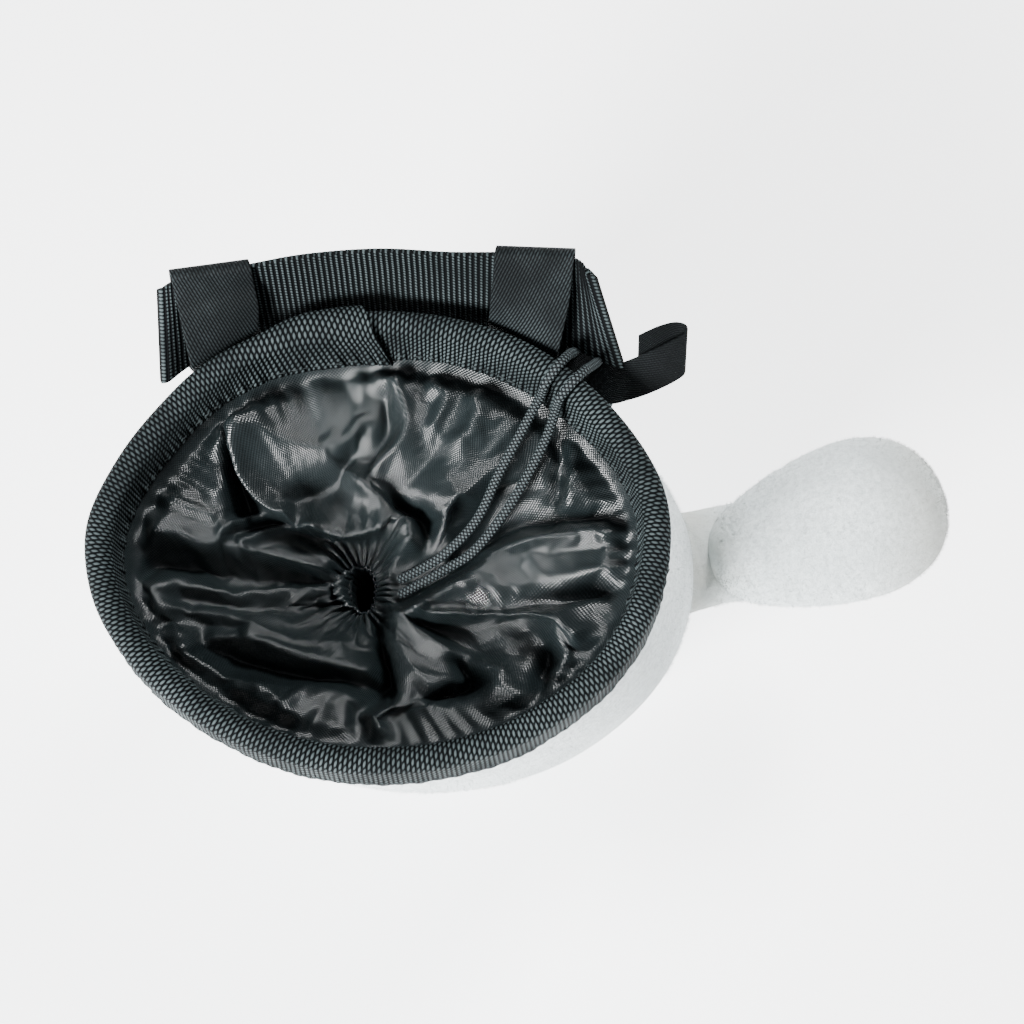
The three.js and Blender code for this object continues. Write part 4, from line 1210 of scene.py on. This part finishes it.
def settled_collar(rows, columns, nylon):
    """The collar's grid after its slack has settled into wrinkles between the rim and the cinch."""
    step = FULL_TURN / (columns - 1)
    lap = 12
    bearing = (np.arange(columns + 2 * lap) - lap) * step
    points = collar_surface(rows, bearing, nylon.fold_share)
    cloth = laid_grid("settling_collar", points, np.zeros((*points.shape[:2], 2)))
    reach = np.linspace(0, 1, rows)[:, None]
    held = np.where((reach < 0.1) | (reach > 0.94), 1.0, 0.012) * np.ones((1, len(bearing)))
    held[:, [0, -1]] = 1.0
    settle(
        cloth, held.ravel(), nylon.steps, 4.0, quality=6, mass=0.12, bending_stiffness=0.03,
        tension_stiffness=14, compression_stiffness=14, shear_stiffness=3, shrink_min=-nylon.slack,
    )
    points = (corners(cloth.data) / MM).reshape(points.shape)
    bpy.ops.object.select_all(action="DESELECT")
    cloth.select_set(True)
    bpy.ops.object.delete()
    ring = points[:, lap:lap + columns].copy()
    blend = smooth(np.linspace(0, 1, lap))[None, :, None]
    ring[:, :lap] = ring[:, :lap] * blend + points[:, lap + columns - 1:][:, :lap] * (1 - blend)
    ring[:, -1] = ring[:, 0]
    return under_cords(ring)


class CHALKBAG_OT_collar(bpy.types.Operator):
    """Gather the thin nylon collar from the binding to the cinch"""

    bl_idname = "chalkbag.collar"
    bl_label = "Closure collar"

    def execute(self, context):
        nylon = settings().collar
        rows, columns = 50, 253
        points = settled_collar(rows, columns, nylon)
        along = np.linspace(0, COLLAR_ROUND, columns)[None, :] * np.ones((rows, 1))
        across = run_lengths(points, 0).mean(axis=1, keepdims=True) * np.ones((1, columns))
        collar = laid_grid("nylon_collar", points, np.stack([along, across], axis=-1))
        in_edit_mode(collar, lambda: bpy.ops.mesh.remove_doubles(threshold=2e-6))
        apply_modifier(collar, "Fine", "SUBSURF", levels=1, render_levels=1)
        give_thickness(collar, NYLON_THICK)
        finish = nylon_finish("satin nylon", tuple(nylon.thread), tuple(nylon.gap), nylon.weave / MM)
        finish_piece(collar, finish, "black_nylon", "closure_collar")

        turn = np.linspace(0, 2 * math.pi, 361)[None, :]
        rise = np.linspace(0, 1, 30)[:, None]
        wave = np.sin(17 * turn + 1.9 * np.sin(2 * turn) + np.sin(5 * turn))
        wave = wave + 0.5 * np.sin(37 * turn + 2 * np.sin(3 * turn))
        lip = np.clip(np.cos(turn - 3.2), 0, 1) ** 0.9
        frill = 0.28 * wave * (0.4 + rise)
        half_x = PIT_HALF[0] - 0.5 + 0.2 * rise + frill + 4.8 * lip * rise**1.5
        half_y = PIT_HALF[1] - 0.6 + 0.3 * rise + frill
        level = BAG_HEIGHT - COLLAR_DROP - 9.0 + 0.35 * wave * rise
        level = level + (8.4 + 5.6 * lip) * np.sin(rise * 1.75)
        right, back = CINCH[0] + half_x * np.cos(turn), CINCH[1] + half_y * np.sin(turn)
        ruffle = np.stack([right, back, level], axis=-1)
        ruffle[:, -1] = ruffle[:, 0]
        spread = np.linspace(0, RUFFLE_ROUND, 361)[None, :] * np.ones((30, 1))
        flat = np.stack([spread, run_lengths(ruffle, 0)], axis=-1)
        hem = laid_grid("cinch_ruffle", ruffle, flat)
        in_edit_mode(hem, lambda: bpy.ops.mesh.remove_doubles(threshold=2e-6))
        give_thickness(hem, RUFFLE_THICK)
        finish_piece(hem, finish, "black_nylon", "collar_hem")
        return {"FINISHED"}


def band_edge(bearing):
    """The band's foot and head at a bearing."""
    columns = ("off", "drop", "lean", "turn")
    mix = {name: along_table(BAND_STATIONS, "bearing", name, bearing) for name in columns}
    foot = from_mouth(bearing, mix["off"] * BAND_WIDTH + BAND_THICK / 2, mix["drop"] * BAND_WIDTH)
    lean, turn = np.radians(mix["lean"]), np.radians(90 + mix["turn"])
    up = np.stack([np.sin(lean) * np.cos(turn), np.sin(lean) * np.sin(turn), np.cos(lean)], axis=-1)
    head = foot + up * BAND_WIDTH
    foot = foot - up * (BAND_TUCK + smooth((60 - bearing) / 15))[..., None]
    return foot, head, up


def band_section(bearing):
    """The band's foot and head, its directions along and up, and its outward face at a bearing."""
    foot, head, up = band_edge(bearing)
    before, after = band_edge(bearing + 1), band_edge(bearing - 1)
    along_foot, along_head = unit(after[0] - before[0]), unit(after[1] - before[1])
    along = unit(along_foot + along_head)
    return foot, head, up, along, along_foot, along_head, unit(np.cross(up, along))


def strip_grid(edges, spacing, columns):
    """A smooth grid between two edges that are given at a few stations, six numbers a row."""
    line, _ = curve_through(edges, spacing * math.sqrt(2))
    share = np.linspace(0, 1, columns)[None, :, None]
    points = line[:, None, :3] * (1 - share) + line[:, None, 3:] * share
    along = run_lengths((line[:, None, :3] + line[:, None, 3:]) / 2, 0) * np.ones((1, columns))
    across = run_lengths(points, 1)
    return points, np.stack([along, across], axis=-1)


def make_strip(name, points, flat, thickness, rim, finish, slot, node, width, held, *rests_on):
    """A strip of webbing on a laid grid, with its thickness and its finish."""
    strip = laid_grid(name, points, flat)
    give_thickness(strip, thickness, rim)
    finish_piece(strip, finish, slot, node)
    width * MM


class CHALKBAG_OT_band(bpy.types.Operator):
    """Stand the wide ribbed band at the back, its ends folded back"""

    bl_idname = "chalkbag.band"
    bl_label = "Back band"

    def execute(self, context):
        webbing = settings().webbing
        rib = webbing.band_rib / MM
        first, last = BAND_STATIONS["bearing"][0], BAND_STATIONS["bearing"][-1]
        hem = math.degrees(BAND_HEM / HALF_WIDTH)
        fold = (BAND_THICK + GAP) / 2
        ends = [(0.3, 0.7), (1, 1), (1.7, 0.7), (2, 0)]
        rows = [(first - hem, 2, 0), (first - hem / 2, 2, 0), (first - 0.7, 2, 0)]
        rows += [(first, lift, -ahead) for lift, ahead in reversed(ends)]
        rows += [(first, 0, 0), (first - 0.7, 0, 0)]
        rows += [(bearing, 0, 0) for bearing in np.linspace(first, last, 27)[1:-1]]
        rows += [(last + 0.7, 0, 0), (last, 0, 0)] + [(last, lift, ahead) for lift, ahead in ends]
        rows += [(last + 0.7, 2, 0), (last + hem / 2, 2, 0), (last + hem, 2, 0)]
        edges = []
        for bearing, lift, ahead in rows:
            foot, head, up, along, _, _, face = band_section(np.array(bearing, float))
            shift = face * lift * fold + along * ahead * fold
            trim = up * FLAP_TRIM * smooth(lift - 1)
            edges.append(np.concatenate([foot + shift + trim, head + shift - trim]))
        points, flat = strip_grid(edges, rib / 6, 30)
        left = np.minimum(flat[..., 0], flat[..., 0].max() - flat[..., 0])
        plain = smooth((left - 8.5) / 2.0)
        relief = (webbing.rib_height / MM) * (np.abs(np.sin(math.pi * flat[..., 0] / rib)) - 0.6)
        sway = 0.35 * ripple(flat.shape[:2], (2, 6), 5)
        outward = surface_normals(points)
        points = points + outward * ((relief + sway) * plain)[..., None]
        finish = webbing_finish("band webbing", tuple(webbing.thread), tuple(webbing.gap), rib, 1.0, 0.5)
        straps = ("fine_strap_left", "fine_strap_right")
        make_strip("webbing_band", points, flat, BAND_THICK - 0.3, 0.3, finish, "ribbed_webbing", "back_band",
                   BAND_WIDTH, "hung", *straps)
        return {"FINISHED"}


def strap_edges(bearing):
    """The two edges of a strap loop: up past the binding, over the band and back under it."""
    foot, head, up, _, along_foot, along_head, face = band_section(np.array(bearing, float))
    normal = mouth_outward(np.array(bearing, float))
    along_wall = np.array([normal[1], -normal[0], 0.0])
    hug = BAND_THICK / 2 + STRAP_BOW + STRAP_THICK / 2
    snug = BAND_THICK / 2 + GAP + STRAP_THICK / 2
    over = GAP * 2 + STRAP_THICK / 2
    sewn = GAP + STRAP_THICK / 2
    flare = around(BINDING_LEAN, "outer", np.array(float(bearing))) * OUTER_LEG

    def on_band(share, side, lift):
        across = unit(along_foot * (1 - share) + along_head * share)
        return foot * (1 - share) + head * share + face * side + up * lift, across

    def on_binding(drop):
        return from_mouth(float(bearing), sewn + flare, drop), along_wall

    def on_cup(drop):
        return cup_point(1 - drop / BAG_HEIGHT, float(bearing), sewn), along_wall

    back = OUTER_LEG + STRAP_THICK * 3
    line = [
        on_binding(OUTER_LEG - GAP), on_binding(OUTER_LEG / 2), on_binding(CREST_RADIUS),
        on_band(0.6, -hug - STRAP_SLACK, 0), on_band(0.82, -(hug + snug) / 2, 0),
        on_band(1, -snug, -STRAP_THICK), on_band(1, -snug * 0.75, over * 0.66), on_band(1, 0, over),
        on_band(1, snug * 0.75, over * 0.66), on_band(1, snug, -STRAP_THICK),
        on_band(0.66, hug, 0), on_band(0.33, hug, 0), on_band(0, hug, STRAP_THICK),
        on_band(0, hug * 0.8, -over), on_band(0, 0, -over * 1.5),
        on_cup(back), on_cup(back + STRAP_SEWN / 2), on_cup(back + STRAP_SEWN),
    ]
    return [
        np.concatenate([middle - across * STRAP_WIDTH / 2, middle + across * STRAP_WIDTH / 2])
        for middle, across in line
    ]


class CHALKBAG_OT_straps(bpy.types.Operator):
    """Sew the two fine strap loops round the band, and the curled tape beside them"""

    bl_idname = "chalkbag.straps"
    bl_label = "Strap loops and tape"

    def execute(self, context):
        webbing = settings().webbing
        twill = webbing.twill / MM
        finish = twill_finish("fine strap", tuple(webbing.fine_thread), tuple(webbing.gap), twill, 0.36, 1.3)
        for side, bearing in STRAP_BEARINGS.items():
            points, flat = strip_grid(strap_edges(bearing), 0.5, 28)
            if side == "right":
                flat[..., 1] = STRAP_WIDTH - flat[..., 1]
            make_strip("fine_strap_" + side, points, flat, STRAP_THICK - 0.2, 0.25, finish, "fine_webbing",
                       "strap_loop_" + side, STRAP_WIDTH, "folded", "webbing_binding", "plush_cup")
        edges = []
        for right, back, drop, lean in zip(*(TAPE_ROUTE[name] for name in ("right", "back", "drop", "lean"))):
            middle = np.array([right * HALF_WIDTH, back * HALF_DEPTH, BAG_HEIGHT - drop * TAPE_WIDTH])
            tilt = math.radians(lean)
            across = np.array([0, math.sin(tilt), math.cos(tilt)]) * TAPE_WIDTH / 2
            edges.append(np.concatenate([middle - across, middle + across]))
        points, flat = strip_grid(edges, 0.35, 22)
        # Painted shade: the tape gets a darker copy of the strap thread, because it lies in shade under the
        # band
        dark = dimmed(webbing.fine_thread, 0.4)
        finish = twill_finish("fine tape in painted shade", dark, tuple(webbing.gap), twill * 0.8, 0.3, 1.0)
        make_strip("fine_tape", points, flat, TAPE_THICK - 0.1, 0.2, finish, "fine_webbing", "curled_tape",
                   TAPE_WIDTH, "folded", "webbing_binding")
        return {"FINISHED"}


class CHALKBAG_PT_panel(bpy.types.Panel):
    """The bag's pieces and settings"""

    bl_idname = "CHALKBAG_PT_panel"
    bl_label = "Chalk bag"
    bl_space_type = "VIEW_3D"
    bl_region_type = "UI"
    bl_category = "Chalk bag"

    def draw(self, context):
        for step in STEPS:
            self.layout.operator(step.bl_idname)


STEPS = (
    CHALKBAG_OT_stage,
    CHALKBAG_OT_cords,
    CHALKBAG_OT_cup,
    CHALKBAG_OT_limb,
    CHALKBAG_OT_binding,
    CHALKBAG_OT_collar,
    CHALKBAG_OT_band,
    CHALKBAG_OT_straps,
)

CLASSES = (
    PlushSettings,
    WebbingSettings,
    CollarSettings,
    CordSettings,
    StudioSettings,
    ChalkBagSettings,
    *STEPS,
    CHALKBAG_PT_panel,
)


def register():
    for item in CLASSES:
        bpy.utils.register_class(item)
    bpy.types.Scene.chalk_bag = PointerProperty(type=ChalkBagSettings)


def unregister():
    del bpy.types.Scene.chalk_bag
    for item in reversed(CLASSES):
        bpy.utils.unregister_class(item)


def main():
    register()
    bpy.ops.chalkbag.stage()
    bpy.ops.chalkbag.cords()
    bpy.ops.chalkbag.cup()
    bpy.ops.chalkbag.limb()
    bpy.ops.chalkbag.binding()
    bpy.ops.chalkbag.collar()
    bpy.ops.chalkbag.band()
    bpy.ops.chalkbag.straps()


if __name__ == "__main__":
    main()
